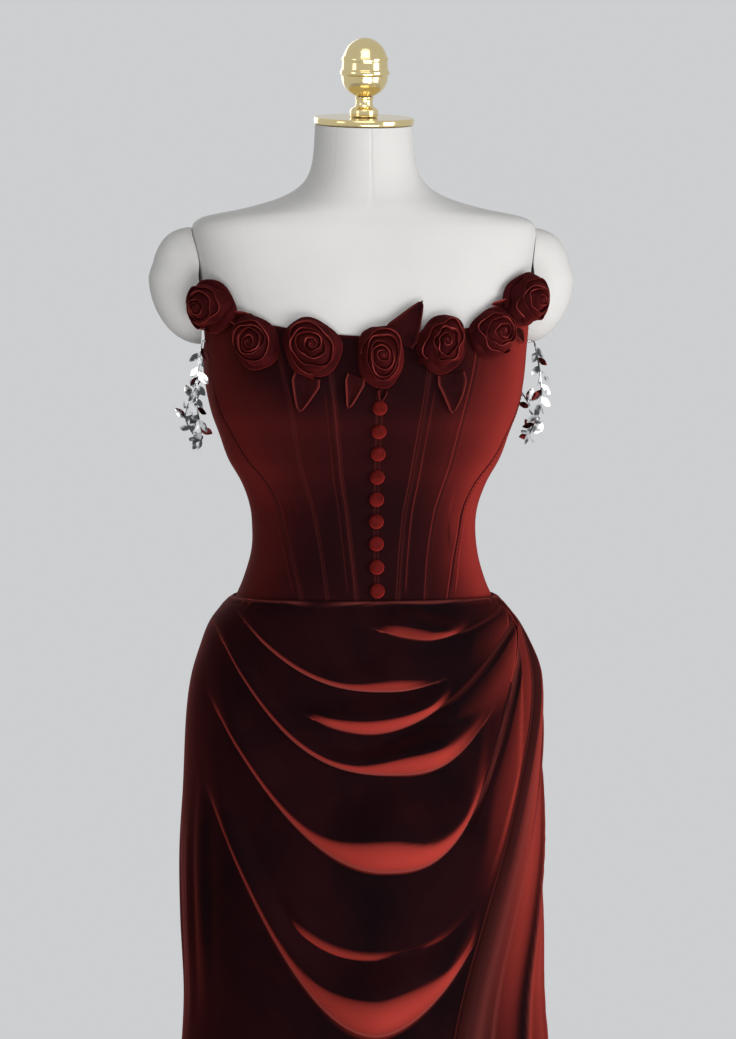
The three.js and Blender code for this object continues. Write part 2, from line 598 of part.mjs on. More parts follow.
function bodicePanel(panel, side) {
  // A casing adds three narrow columns along the panel's first edge.
  const casingStops = panel.casing > 0
    ? [0, CASING_SHOULDER, panel.casing - CASING_SHOULDER, panel.casing]
    : [0];
  const columns = panel.columns + casingStops.length - 1;
  const order = (column) => (side > 0 ? column : columns - column);
  const edges = (z) => ({ first: panelEdge(panel.from, z, 1), last: panelEdge(panel.to, z, -1) });
  const angleOf = (place, z) => {
    const { first, last } = edges(z);
    const rate = bodiceReach((first + last) / 2, z);
    const casingEnd = first + casingStops.at(-1) / rate;
    if (place < casingStops.length) return first + casingStops[place] / rate;
    return mix(casingEnd, last, (place - casingStops.length + 1) / panel.columns);
  };
  const spot = (column, row) => {
    const place = order(column);
    const turn = THREE.MathUtils.radToDeg(angleOf(place, NECKLINE_REFERENCE));
    const z = mix(BODICE_BOTTOM, sample(NECKLINE, "angle", "z", turn), row / BODICE_ROWS);
    return { angle: side * angleOf(place, z), z };
  };
  const raise = (column, z) => {
    const place = order(column);
    const isOnCasing = casingStops.length > 1 && (place === 1 || place === 2);
    if (!isOnCasing) return 0;
    return CASING_RISE * smooth(z - SKIRT_TOP, 2, CASING_FADE) * smooth(CASING_TOP - z, 0, CASING_FADE);
  };
  return clothPanel(columns, BODICE_ROWS, bodicePoint, spot, raise);
}

function buildBodice() {
  for (const panel of PANELS) {
    addMesh(`bodice_${panel.name}_left`, bodicePanel(panel, -1), VELVET);
    addMesh(`bodice_${panel.name}_right`, bodicePanel(panel, 1), VELVET);
  }
}

// ---- the skirt ----

const LEFT_SEAM = degrees(SIDE_SEAMS.left);
const RIGHT_SEAM = degrees(SIDE_SEAMS.right);
const SEAM_GAP = SEAM_SHIFT / SEAM_RADIUS;
const SHARP_GAP = degrees(SHARP_SEAM);
const CASCADE_GAP = 2 * SEAM_GAP;     // beside the cascade's edge, where the cloth slants
const FOLDED_GAP = 3 * SEAM_GAP;      // beside the right seam, where the cascade's folds cross it
const LINE_TRIES = 40;

function frontAngle(share, z) {
  return mix(LEFT_SEAM + SEAM_GAP, cascadeAngle(CASCADE[0], z) - CASCADE_GAP, share);
}

// The height at which a column of the front crosses a drape's line.
function crossing(drape, share) {
  let z = drape.lowZ;
  let line = drapeLine(drape, 0);
  for (let i = 0; i < LINE_TRIES; i += 1) {
    const point = ringPoint(sectionAt(SKIRT, z), frontAngle(share, z));
    line = drapeLine(drape, point.x);
    z = (z + line.height) / 2;
  }
  const point = ringPoint(sectionAt(SKIRT, z), frontAngle(share, z));
  const near = Math.exp(-(((point.x - drape.bellyX) / drape.spread) ** 2));
  return { z, stretch: Math.hypot(1, line.steepness), band: mix(drape.armBand, drape.band, near) };
}

// Heights of the rows of one column of the front, from the hem to the waist.
function frontHeights(share) {
  const heights = [HEM];
  for (const { drape, rowsBelow } of ROW_DRAPES) {
    const line = crossing(FRONT_DRAPES[drape], share);
    const below = heights.at(-1);
    const room = Math.min((SKIRT_TOP - below) / TIGHT_BELOW_WAIST, 1);
    const least = mix(TIGHT_ROW_GAP, ROW_GAP, room);
    const foot = Math.max(line.z - DRAPE_LIP * line.stretch, below + least * rowsBelow);
    for (let i = 1; i <= rowsBelow; i += 1) heights.push(mix(below, foot, i / rowsBelow));
    heights.push(Math.max(line.z, foot + least));
    heights.push(Math.max(line.z + line.band * line.stretch, heights.at(-1) + least));
  }
  const top = heights.at(-1);
  for (let i = 1; i <= ROWS_TO_WAIST; i += 1) heights.push(mix(top, SKIRT_TOP, i / ROWS_TO_WAIST));
  return heights;
}

// The height at a share of the way through a list of heights.
function heightAlong(list, share) {
  const place = share * (list.length - 1);
  const below = Math.min(Math.floor(place), list.length - 2);
  return mix(list[below], list[below + 1], place - below);
}

function backPanel(columns, first, last) {
  const spot = (column, row) => ({ angle: mix(first, last, column / columns), z: BACK_ROWS[row] });
  return clothPanel(columns, BACK_ROWS.length - 1, skirtPoint, spot);
}

function buildSkirt() {
  const { front, cascade, backRight, backLeft } = SKIRT_COLUMNS;
  const heights = [];
  for (let i = 0; i <= front; i += 1) heights.push(frontHeights(i / front));
  const edge = heights.at(-1);
  const rows = edge.length - 1;
  const frontSpot = (column, row) => {
    const z = heights[column][row];
    return { angle: frontAngle(column / front, z), z };
  };
  // The cascade's rows start at the draped front's heights and end at the back's.
  const cascadeSpot = (column, row) => {
    const share = column / cascade;
    const z = mix(edge[row], heightAlong(BACK_ROWS, row / rows), share);
    const start = cascadeAngle(CASCADE[0], z) + CASCADE_GAP;
    return { angle: mix(start, RIGHT_SEAM - FOLDED_GAP, share), z };
  };
  addMesh("skirt_front_drape", clothPanel(front, rows, skirtPoint, frontSpot), VELVET);
  addMesh("skirt_cascade", clothPanel(cascade, rows, skirtPoint, cascadeSpot), VELVET);
  const right = backPanel(backRight, RIGHT_SEAM + FOLDED_GAP, Math.PI - SHARP_GAP);
  const left = backPanel(backLeft, -Math.PI + SHARP_GAP, LEFT_SEAM - SEAM_GAP);
  addMesh("skirt_back_right", right, VELVET);
  addMesh("skirt_back_left", left, VELVET);
}

// ---- what is sewn on ----

// A patch of the gown's surface round a centre: gives the point at a distance across and up,
// moved out from the cloth.
function gownPatch(x, z) {
  const section = grown(sectionAt(TORSO, z), EASE);
  const middle = angleAtX(section, x);
  const rate = bodiceReach(middle, z);
  return (across, up, out) => {
    const angle = middle + across / rate;
    const point = bodicePoint(angle, z + up);
    return point.addScaledVector(normalOf(bodicePoint, angle, z + up), out);
  };
}

// A rose rolled from a strip of velvet: a dome with its spiral rim standing up.
function roseGeometry(rose) {
  const patch = gownPatch(rose.x, rose.z);
  const points = [patch(0, 0, SEAT), patch(0, 0, SEAT + rose.rise)];
  const triangles = [];
  for (const ring of ROSE_RINGS) {
    for (let i = 0; i < ROSE_SEGMENTS; i += 1) {
      const turn = (i / ROSE_SEGMENTS) * 2 * Math.PI;
      const wave = Math.cos(ROSE_SCALLOP.count * turn + degrees(rose.spin));
      const scallop = 1 + ROSE_SCALLOP.share * wave;
      const across = rose.wide * ring * scallop * Math.cos(turn);
      const up = rose.tall * ring * scallop * Math.sin(turn);
      const winding = ring * rose.turns - turn / (2 * Math.PI) + rose.spin / 360;
      const valley = (1 + Math.cos(2 * Math.PI * winding)) / 2;
      const dome = rose.rise * Math.sqrt(1 - ROSE_DOME * ring * ring) - ROSE_RIDGE * valley;
      const turnedUnder = smooth(ring, ROSE_EDGE.start, ROSE_EDGE.end);
      points.push(patch(across, up, SEAT + mix(dome, ROSE_EDGE.height, turnedUnder)));
    }
  }
  const start = (ring) => 2 + ring * ROSE_SEGMENTS;
  const under = points.length;
  for (const ring of ROSE_UNDERSIDE) {
    for (let i = 0; i < ROSE_SEGMENTS; i += 1) {
      const turn = (i / ROSE_SEGMENTS) * 2 * Math.PI;
      const across = rose.wide * ring * Math.cos(turn);
      points.push(patch(across, rose.tall * ring * Math.sin(turn), SEAT));
    }
  }
  const underEdge = under + ROSE_SEGMENTS;
  const outermost = ROSE_RINGS.length - 1;
  for (let i = 0; i < ROSE_SEGMENTS; i += 1) {
    const next = (i + 1) % ROSE_SEGMENTS;
    triangles.push([1, start(0) + i, start(0) + next]);
    triangles.push([0, under + next, under + i]);
    triangles.push([under + i, under + next, underEdge + next]);
    triangles.push([under + i, underEdge + next, underEdge + i]);
    for (let ring = 0; ring < outermost; ring += 1) {
      const a = start(ring) + i;
      const b = start(ring) + next;
      triangles.push([a, a + ROSE_SEGMENTS, b + ROSE_SEGMENTS], [a, b + ROSE_SEGMENTS, b]);
    }
    const a = start(outermost) + i;
    const b = start(outermost) + next;
    triangles.push([a, underEdge + i, underEdge + next], [a, underEdge + next, b]);
  }
  return meshGeometry(points, triangles);
}

// A pointed leaf of stiffened velvet with a folded midrib.
function leafGeometry(leaf) {
  const length = Math.hypot(leaf.toX - leaf.fromX, leaf.toZ - leaf.fromZ);
  const patch = gownPatch(leaf.fromX, leaf.fromZ);
  const ahead = { x: (leaf.toX - leaf.fromX) / length, z: (leaf.toZ - leaf.fromZ) / length };
  const points = [];
  const triangles = [];
  const { start, bend, tip } = LEAF_OUTLINE;
  for (let station = 0; station <= LEAF_STATIONS; station += 1) {
    const share = station / LEAF_STATIONS;
    const isTip = station === LEAF_STATIONS;
    const half = isTip ? tip : (leaf.width / 2) * Math.sin(Math.PI * mix(start, 1, share)) ** bend;
    for (const side of [-1, 0, 1]) {
      const across = ahead.x * share * length - ahead.z * half * side;
      const up = ahead.z * share * length + ahead.x * half * side;
      const lift = SEAT + LEAF_CUP * share * share + (side === 0 ? 0 : LEAF_RIM);
      points.push(patch(across, up, lift + CLOTH), patch(across, up, lift));
    }
  }
  const at = (station, side, isUnder) => station * 6 + side * 2 + (isUnder ? 1 : 0);
  const quad = (a, b, c, d) => triangles.push([a, b, c], [a, c, d]);
  for (let station = 0; station < LEAF_STATIONS; station += 1) {
    const next = station + 1;
    for (const side of [0, 1]) {
      const beside = side + 1;
      quad(at(station, side), at(next, side), at(next, beside), at(station, beside));
      const under = (place, edge) => at(place, edge, true);
      quad(under(station, side), under(station, beside), under(next, beside), under(next, side));
    }
    quad(at(station, 0), at(station, 0, true), at(next, 0, true), at(next, 0));
    quad(at(station, 2), at(next, 2), at(next, 2, true), at(station, 2, true));
  }
  const last = LEAF_STATIONS;
  for (const side of [0, 1]) {
    quad(at(0, side), at(0, side + 1), at(0, side + 1, true), at(0, side, true));
    quad(at(last, side), at(last, side, true), at(last, side + 1, true), at(last, side + 1));
  }
  return meshGeometry(points, triangles);
}

function turned(profile, segments) {
  const corners = profile.map((corner) => new THREE.Vector2(corner.r, corner.h));
  const geometry = new THREE.LatheGeometry(corners, segments);
  return geometry.rotateX(Math.PI / 2);
}

function buildTrims() {
  ROSES.forEach((rose, i) => addMesh(`rose_${i + 1}`, roseGeometry(rose), ROSE_VELVET));
  LEAVES.forEach((leaf, i) => addMesh(`leaf_${i + 1}`, leafGeometry(leaf), ROSE_VELVET));
  BUTTON_HEIGHTS.forEach((z, i) => {
    const button = addMesh(`button_${i + 1}`, turned(BUTTON_PROFILE, TURNED.button), VELVET);
    const normal = normalOf(bodicePoint, 0, z);
    button.position.copy(bodicePoint(0, z)).addScaledVector(normal, BUTTON_SEAT);
    button.quaternion.setFromUnitVectors(new THREE.Vector3(0, 0, 1), normal);
  });
}

// ---- the leaf chains ----

const MERGE_DISTANCE = 1e-4;
const wasm = await Module();
wasm.setup();

function solidFrom(geometry) {
  const bare = geometry.clone();
  bare.deleteAttribute("normal");
  bare.deleteAttribute("uv");
  const merged = mergeVertices(bare, MERGE_DISTANCE);
  const vertProperties = new Float32Array(merged.getAttribute("position").array);
  const triVerts = new Uint32Array(merged.getIndex().array);
  return new wasm.Manifold(new wasm.Mesh({ numProp: 3, vertProperties, triVerts }));
}

function geometryFrom(solid) {
  const mesh = solid.getMesh();
  const geometry = new THREE.BufferGeometry();
  geometry.setAttribute("position", new THREE.Float32BufferAttribute(mesh.vertProperties, 3));
  geometry.setIndex(Array.from(mesh.triVerts));
  return geometry;
}

// A small pointed plate: its root on the wire, its tip ahead, thickest in the middle.
function plateGeometry(root, ahead, face) {
  const across = new THREE.Vector3().crossVectors(face, ahead).normalize();
  const middle = root.clone().addScaledVector(ahead, CHAIN_LEAF.length * CHAIN_LEAF.belly);
  const points = [
    root.clone().addScaledVector(ahead, -CHAIN_LEAF.root),
    middle.clone().addScaledVector(across, CHAIN_LEAF.width / 2),
    root.clone().addScaledVector(ahead, CHAIN_LEAF.length),
    middle.clone().addScaledVector(across, -CHAIN_LEAF.width / 2),
    middle.clone().addScaledVector(face, CHAIN_LEAF.thickness / 2),
    middle.clone().addScaledVector(face, -CHAIN_LEAF.thickness / 2),
  ];
  const triangles = [];
  for (let i = 0; i < 4; i += 1) {
    const next = (i + 1) % 4;
    triangles.push([i, 4, next], [next, 5, i]);
  }
  return meshGeometry(points, triangles);
}

function chainGeometry(side) {
  const sewnOn = (end, out) => {
    const point = bodicePoint(degrees(end.angle), end.z);
    return point.addScaledVector(normalOf(bodicePoint, degrees(end.angle), end.z), out);
  };
  const corners = [
    sewnOn(CHAIN_FRONT, SEAT),
    sewnOn(CHAIN_FRONT, CHAIN_STANDOFF),
    ...CHAIN_LOOP.map((corner) => new THREE.Vector3(corner.x, corner.y, corner.z)),
    sewnOn(CHAIN_BACK, CHAIN_STANDOFF),
    sewnOn(CHAIN_BACK, SEAT),
  ];
  const mirror = new THREE.Vector3(side, 1, 1);
  const path = new THREE.CatmullRomCurve3(corners.map((corner) => corner.multiply(mirror)));
  const section = new THREE.Shape();
  for (let i = 0; i < CHAIN_SIDES; i += 1) {
    const turn = (i / CHAIN_SIDES) * 2 * Math.PI;
    section[i === 0 ? "moveTo" : "lineTo"](CHAIN_WIRE * Math.cos(turn), CHAIN_WIRE * Math.sin(turn));
  }
  const wire = new THREE.ExtrudeGeometry(section, { steps: CHAIN_STEPS, extrudePath: path });
  let solid = solidFrom(wire);
  for (let i = 0; i < CHAIN_LEAVES.count; i += 1) {
    const share = mix(CHAIN_LEAVES.first, CHAIN_LEAVES.last, i / (CHAIN_LEAVES.count - 1));
    const tangent = path.getTangentAt(share);
    const outward = new THREE.Vector3(side, 0, 0);
    const face = outward.clone().addScaledVector(tangent, -outward.dot(tangent)).normalize();
    const splay = degrees(CHAIN_LEAF.splay) * (i % 2 === 0 ? 1 : -1);
    const ahead = tangent.clone().applyAxisAngle(face, splay);
    solid = solid.add(solidFrom(plateGeometry(path.getPointAt(share), ahead, face)));
  }
  return geometryFrom(solid);
}

// ---- the dress form and its stand ----

// The neck leans forward towards its top, so that the plate on it is tilted.
function leaned(point) {
  const share = THREE.MathUtils.clamp((point.z - NECK_BEND_START) / (NECK_TOP - NECK_BEND_START), 0, 1);
  point.z += share * Math.tan(NECK_TILT) * point.y;
  return point;
}

function torsoGeometry() {
  const segments = TURNED.torso;
  const points = [];
  const triangles = [];
  for (const row of TORSO) {
    for (let i = 0; i < segments; i += 1) {
      points.push(leaned(torsoPoint((i / segments) * 2 * Math.PI, row.z)));
    }
  }
  const top = TORSO.length - 1;
  for (let ring = 0; ring < top; ring += 1) {
    for (let i = 0; i < segments; i += 1) {
      const a = ring * segments + i;
      const b = ring * segments + ((i + 1) % segments);
      triangles.push([a, b, b + segments], [a, b + segments, a + segments]);
    }
  }
  const underside = points.push(new THREE.Vector3(0, 0, TORSO[0].z)) - 1;
  const neck = points.push(new THREE.Vector3(0, 0, TORSO[top].z)) - 1;
  for (let i = 0; i < segments; i += 1) {
    const next = (i + 1) % segments;
    triangles.push([underside, next, i]);
    triangles.push([neck, top * segments + i, top * segments + next]);
  }
  return meshGeometry(points, triangles);
}

// Half-width of the form at a depth and height.
function torsoReach(y, z) {
  const section = sectionAt(TORSO, z);
  const depth = y < 0 ? section.front : section.back;
  const share = Math.min(Math.abs(y) / depth, CAP_REACH);
  return section.side * (1 - share ** section.power) ** (1 / section.power);
}

function capGeometry(side) {
  const points = [];
  const triangles = [];
  const place = (ring, turn, isOuter) => {
    const y = CAP.y + CAP.halfDepth * ring * Math.cos(turn);
    const z = CAP.z + CAP.halfHeight * ring * Math.sin(turn);
    const bulge = isOuter ? CAP.bulge * Math.sqrt(1 - ring * ring) : 0;
    const gap = mix(CAP.gap, CAP.clearance, smooth(CAP_SEAT_HEIGHT - z, 0, CAP_STEP));
    return new THREE.Vector3(side * (torsoReach(y, z) + gap + bulge), y, z);
  };
  const rings = (isOuter) => {
    const centre = points.push(place(0, 0, isOuter)) - 1;
    const starts = [];
    for (let ring = 1; ring < CAP_RINGS; ring += 1) {
      starts.push(points.length);
      const share = isOuter ? Math.sin((ring / CAP_RINGS) * (Math.PI / 2)) : ring / CAP_RINGS;
      for (let i = 0; i < CAP_SEGMENTS; i += 1) {
        points.push(place(share, (i / CAP_SEGMENTS) * 2 * Math.PI, isOuter));
      }
    }
    return { centre, starts };
  };
  const outer = rings(true);
  const inner = rings(false);
  const rim = points.length;
  for (let i = 0; i < CAP_SEGMENTS; i += 1) {
    points.push(place(1, (i / CAP_SEGMENTS) * 2 * Math.PI, false));
  }
  const skin = ({ centre, starts }, flip) => {
    const loops = [...starts, rim];
    const add = (a, b, c) => triangles.push(flip ? [a, c, b] : [a, b, c]);
    for (let i = 0; i < CAP_SEGMENTS; i += 1) {
      const next = (i + 1) % CAP_SEGMENTS;
      add(centre, loops[0] + i, loops[0] + next);
      for (let ring = 0; ring + 1 < loops.length; ring += 1) {
        add(loops[ring] + i, loops[ring + 1] + i, loops[ring + 1] + next);
        add(loops[ring] + i, loops[ring + 1] + next, loops[ring] + next);
      }
    }
  };
  skin(outer, side < 0);
  skin(inner, side > 0);
  return meshGeometry(points, triangles);
}

function buildForm() {
  addMesh("form_torso", torsoGeometry(), FORM_COVER);
  addMesh("form_cap_left", capGeometry(-1), FORM_COVER);
  addMesh("form_cap_right", capGeometry(1), FORM_COVER);

  const head = new THREE.Group();
  head.position.set(0, 0, NECK_TOP);
  head.rotation.x = NECK_TILT;
  part.add(head);
  const plate = addMesh("neck_plate", turned(PLATE_PROFILE, TURNED.plate), BRASS, head);
  plate.position.z = SEAT;
  const stem = addMesh("finial_stem", turned(STEM_PROFILE, TURNED.stem), BRASS, head);
  stem.position.z = 2 * SEAT + PLATE_THICKNESS;
  const ball = addMesh("finial_ball", turned(BALL_PROFILE, TURNED.ball), BRASS, head);
  ball.position.z = 3 * SEAT + PLATE_THICKNESS + STEM_PROFILE.at(-1).h;

  const poleLength = FORM_BOTTOM - BASE_HEIGHT - 2 * SEAT;
  const poleShape = new THREE.CylinderGeometry(POLE_RADIUS, POLE_RADIUS, poleLength, TURNED.pole);
  poleShape.rotateX(Math.PI / 2);
  const pole = addMesh("stand_pole", poleShape, BRASS);
  pole.position.z = BASE_HEIGHT + SEAT + poleLength / 2;
  addMesh("stand_base", turned(BASE_PROFILE, TURNED.base), BRASS);
}

buildForm();
buildBodice();
buildSkirt();
buildTrims();
addMesh("leaf_chain_left", chainGeometry(-1), SILVER);
addMesh("leaf_chain_right", chainGeometry(1), SILVER);

export default part;
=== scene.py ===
# A strapless mermaid gown in deep red velvet on a white dress form, in a plain pale studio.
# The tables are in millimetres and repeat the part's own; everything made from them is in metres.
# Angles go round the body from the centre front: 0 is the front, +90 degrees is +X, 180 is the back.

import math

import bpy
import numpy as np
from mathutils import Matrix, Vector


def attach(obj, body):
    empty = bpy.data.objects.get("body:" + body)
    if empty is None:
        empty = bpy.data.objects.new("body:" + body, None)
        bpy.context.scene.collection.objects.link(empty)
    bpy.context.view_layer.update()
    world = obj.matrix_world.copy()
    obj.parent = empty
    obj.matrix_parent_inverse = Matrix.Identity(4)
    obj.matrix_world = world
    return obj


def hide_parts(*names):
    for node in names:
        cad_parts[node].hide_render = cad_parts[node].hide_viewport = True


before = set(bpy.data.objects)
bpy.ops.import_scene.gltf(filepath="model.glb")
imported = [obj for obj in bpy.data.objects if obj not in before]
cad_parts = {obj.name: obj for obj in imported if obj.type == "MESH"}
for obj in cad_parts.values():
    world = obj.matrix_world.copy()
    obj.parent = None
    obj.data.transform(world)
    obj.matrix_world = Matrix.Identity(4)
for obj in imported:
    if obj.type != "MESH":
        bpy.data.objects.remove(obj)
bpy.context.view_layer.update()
MM = 0.001

# ---- sizes that the gown shares with its solids ----

CLOTH = 2
EASE = 3.8
SEAT = 0.4
WAIST_SEAT = 1
BODICE_BOTTOM = 1000
SKIRT_TOP = 1011
SKIRT_SEAT_DROP = 9
HEM = 12
SEAM_SHIFT = 0.00012             # radians from a seam line to a sewn panel's edge
SHARP_SEAM = 0.00008             # the same at the centre front and back
NECK_TILT = math.radians(7)
NECK_TOP = 1479
NECK_BEND_START = 1425
BUTTON_HEIGHTS = (1200, 1177, 1155, 1132, 1110, 1088, 1066, 1043, 1020)
FULL_TURN = 2 * math.pi
TURN_STEP = 0.02                 # radians, and a height, over which a surface's slope is measured
RISE_STEP = 3


def table(columns, *rows):
    """Named columns of numbers."""
    return dict(zip(columns.split(), np.array(rows, float).T))


TORSO = table(
    "z side front back power",
    (745, 148, 90, 98, 2.2), (757, 157, 98, 108, 2.2), (790, 164, 104, 117, 2.2),
    (845, 166, 106, 123, 2.2), (895, 163, 105, 122, 2.2), (931, 157, 102, 117, 2.2),
    (961, 148, 99, 110, 2.2), (985, 138, 95, 104, 2.2), (1008, 125.5, 92, 96, 2.2),
    (1027, 117, 88, 89, 2.2), (1051, 110, 84, 80, 2.2), (1075, 108, 82, 74, 2.2),
    (1099, 110, 82.5, 72, 2.2), (1123, 118.5, 86, 73, 2.25), (1147, 132, 92, 76, 2.3),
    (1171, 140.5, 98, 79, 2.4), (1195, 149, 104.5, 82, 2.45), (1225, 155, 108.5, 85, 2.5),
    (1258, 158, 106.5, 88, 2.55), (1292, 161, 98, 91, 2.7), (1325, 165, 87, 90, 2.9),
    (1356, 169.5, 76, 86, 3), (1377, 171, 69, 79, 2.9), (1387, 160, 65, 75, 2.6),
    (1396, 118, 62, 69, 2.3), (1407, 82, 58, 62, 2.1), (1421, 61, 55, 56, 2),
    (1440, 52, 53, 52, 2), (1479, 48.5, 50, 48, 2),
)
BUST = dict(angle=25, height=1222, width=17, rise=46, depth=6)
SKIRT = table(
    "z side front back power",
    (12, 342, 288, 306, 2), (80, 322, 266, 284, 2), (150, 298, 240, 256, 2),
    (220, 272, 212, 226, 2), (290, 246, 184, 196, 2.05), (360, 222, 158, 168, 2.1),
    (430, 203, 136, 144, 2.15), (500, 190, 120, 127, 2.2), (571, 183, 112, 118, 2.2),
    (619, 180, 111, 116, 2.2), (691, 182, 114, 120, 2.2), (763, 183.5, 116, 127, 2.2),
    (835, 181, 115, 131, 2.2), (895, 178, 112, 129, 2.2), (931, 173, 109, 124, 2.2),
    (961, 164, 106, 118, 2.2), (985, 154.5, 103, 112, 2.2), (1003, 141, 99.5, 105, 2.2),
    (1011, 136, 98, 102, 2.2),
)

# Hanging drapes, from the lowest up: each line runs from a left end down to its lowest point and up
# again. The cloth stands out by depth at the belly, a band above the line, and by armDepth and
# armBand away from bellyX. It falls back within roll above the belly, and dies away in fadeRight.
# crease says how sharply it is folded along its line, and how much painted sheen lies along it.
# Beyond turnX the right arm turns over: there the cloth below the line lies on top.
DRAPE_COLUMNS = (
    "leftX leftZ lowX lowZ rightX rightZ bendLeft bendRight "
    "depth armDepth band armBand bellyX spread roll fadeRight crease turnX"
)
NEVER = 999
FRONT_DRAPES = table(
    DRAPE_COLUMNS,
    (-168, 838, -4, 587, 104, 685, 1.9, 1.8, 32, 7, 39, 4, 2, 54, 44, 40, 1, NEVER),
    (-100, 706, 0, 655, 104, 710, 2, 2, 9, 5, 14, 8, 6, 50, 50, 60, 0, NEVER),
    (-165, 925, 6, 749, 150, 985, 2.05, 2.9, 30, 7, 33, 4, 8, 54, 56, 6, 1, 82),
    (-160, 1000, 20, 844, 122, 912, 2.8, 2.4, 20, 6, 20, 4, 44, 50, 26, 70, 1, NEVER),
    (-75, 902, -10, 884, 147, 1000, 1.8, 1.95, 14, 8, 13, 5, 0, 50, 26, 6, 0.7, 46),
    (-138, 1005, 10, 925, 74, 936, 2.6, 2, 11, 5, 11, 4, 18, 36, 34, 60, 1, NEVER),
    (-12, 986, 50, 973, 140, 1008, 1.5, 1.6, 9, 5, 12, 5, 30, 34, 24, 8, 0.4, 66),
)
BACK_DRAPES = table(
    DRAPE_COLUMNS,
    (-138, 990, -8, 936, 132, 988, 2.1, 2.1, 9, 4, 14, 5, -8, 60, 50, 16, 0, NEVER),
    (-152, 946, 12, 862, 150, 940, 2, 2.1, 13, 6, 20, 6, 12, 60, 60, 16, 0, NEVER),
    (-160, 868, -6, 762, 158, 872, 2, 2, 15, 6, 24, 6, -6, 60, 70, 16, 0, NEVER),
    (-160, 762, 10, 652, 150, 748, 1.9, 2, 14, 6, 26, 6, 10, 60, 74, 16, 0, NEVER),
)
DRAPE_FADE = 30                  # length in which a drape begins at its left end
DRAPE_ARM_ROLL = 0.45            # share of its roll that a drape has away from its belly
DRAPE_TUCK = 0.06                # radians in which the drapes flatten before the cascade's edge
DRAPE_BLEND = 5                  # how hard the taller of two drapes hides the other
DRAPE_LIP = 3                    # the cloth turns in below a drape's line within this
DRAPE_LIP_SHARE = 0.16           # share of its depth that a drape has at its line
DRAPE_UNDER_BEND = 1.35          # how round a drape's underside is
CREASE_RISE = 1.2                # how far a sharp fold stands proud along its line
CREASE_HANG = 2.4                # how far it hangs below it
TURN_OVER = 30                   # length in which a right arm turns over
TURNED_LIP = 5                   # the turned arm rises within this below its line
TURNED_ROLL = 40                 # and falls back within this
CREASE_REACH = (6, 4)            # distances in which a fold's rise and hang die away
LIP_SHEEN_AT = (0.6, -1.4)            # where the painted sheen along its lip lies, from its line, and on a turned arm
LIP_SHEEN_WIDTH = 0.9
TURNED_LIP_SHEEN = 0.4                # how much painted sheen a turned arm has next to the rest

# Long folds of the cascade from the right hip to the hem, in degrees.
CASCADE = (
    dict(hem=6, hip=88, bend=2.9, depth=9, rise=8, roll=70),
    dict(hem=20, hip=121, bend=4.2, depth=5, crest=17, width=8),
    dict(hem=38, hip=127, bend=3.6, depth=4.2, crest=18, width=9),
    dict(hem=62, hip=131, bend=3, depth=3.2, crest=20, width=10),
)
CASCADE_FADE = (930, 1000)
CREST_SHEEN = dict(most=0.3, width=3.5)   # painted sheen along the cascade's crests
CASCADE_FOLD_SHEEN = dict(start=3, flat=0.13, ridge=0.2, at=19, width=5, reach=26, fade=16)   # and on its first fold
FLUTES = table(
    "angle depth",
    (-163, 34), (-134, 38), (-107, 33), (-80, 36), (-53, 34), (-27, 37), (-4, 28),
    (20, 34), (42, 32), (67, 36), (93, 33), (119, 37), (146, 34), (171, 36),
)
FLUTE_WIDTH = 12.5
FLUTE_START = 600
HIP_EASE = dict(angle=92, width=38, z=800, rise=120, depth=4.5)   # where the right hip is held in
SIDE_CREASES = (
    dict(angle=-66, low=590, high=850, depth=4, width=7),
    dict(angle=-78, low=570, high=800, depth=3, width=6),
    dict(angle=-101, low=560, high=820, depth=4, width=8),
    dict(angle=128, low=560, high=800, depth=4, width=8),
)

# Vertical seams of the bodice in degrees at each height, mirrored left and right.
SEAMS = table(
    "z centre channel princess underarm side sideBack back",
    (1000, 0, 6.6, 18.6, 29, 96, 146, 180), (1070, 0, 11.1, 27.3, 47, 96, 144, 180),
    (1120, 0, 13.1, 31.2, 54, 96, 142, 180), (1162, 0, 12.2, 29.8, 66, 96, 140, 180),
    (1200, 0, 12, 29.2, 74, 96, 138, 180), (1258, 0, 13, 32, 79, 96, 134, 180),
    (1325, 0, 14, 34, 81, 96, 132, 180),
)
NECKLINE = table(
    "angle z",
    (0, 1269), (8, 1271), (25, 1277), (37, 1283), (48, 1291), (57, 1304), (63, 1315),
    (68, 1319), (73, 1315), (78, 1300), (84, 1272), (90, 1259), (96, 1254), (110, 1250),
    (140, 1242), (180, 1236),
)
NECKLINE_REFERENCE = 1260
PANELS = (
    dict(name="front", start="centre", end="channel", casing=0),
    dict(name="middle", start="channel", end="princess", casing=8),
    dict(name="side_front", start="princess", end="underarm", casing=0),
    dict(name="side", start="underarm", end="side", casing=8),
    dict(name="side_back", start="side", end="sideBack", casing=0),
    dict(name="back", start="sideBack", end="back", casing=0),
)
CASING_RISE = 0.8
CASING_LOOK = 0.6                # share of that rise where the casing's cloth is drawn tight
CASING_SHOULDER = 1.2
CASING_FADE = 16
CASING_TOP = 1222

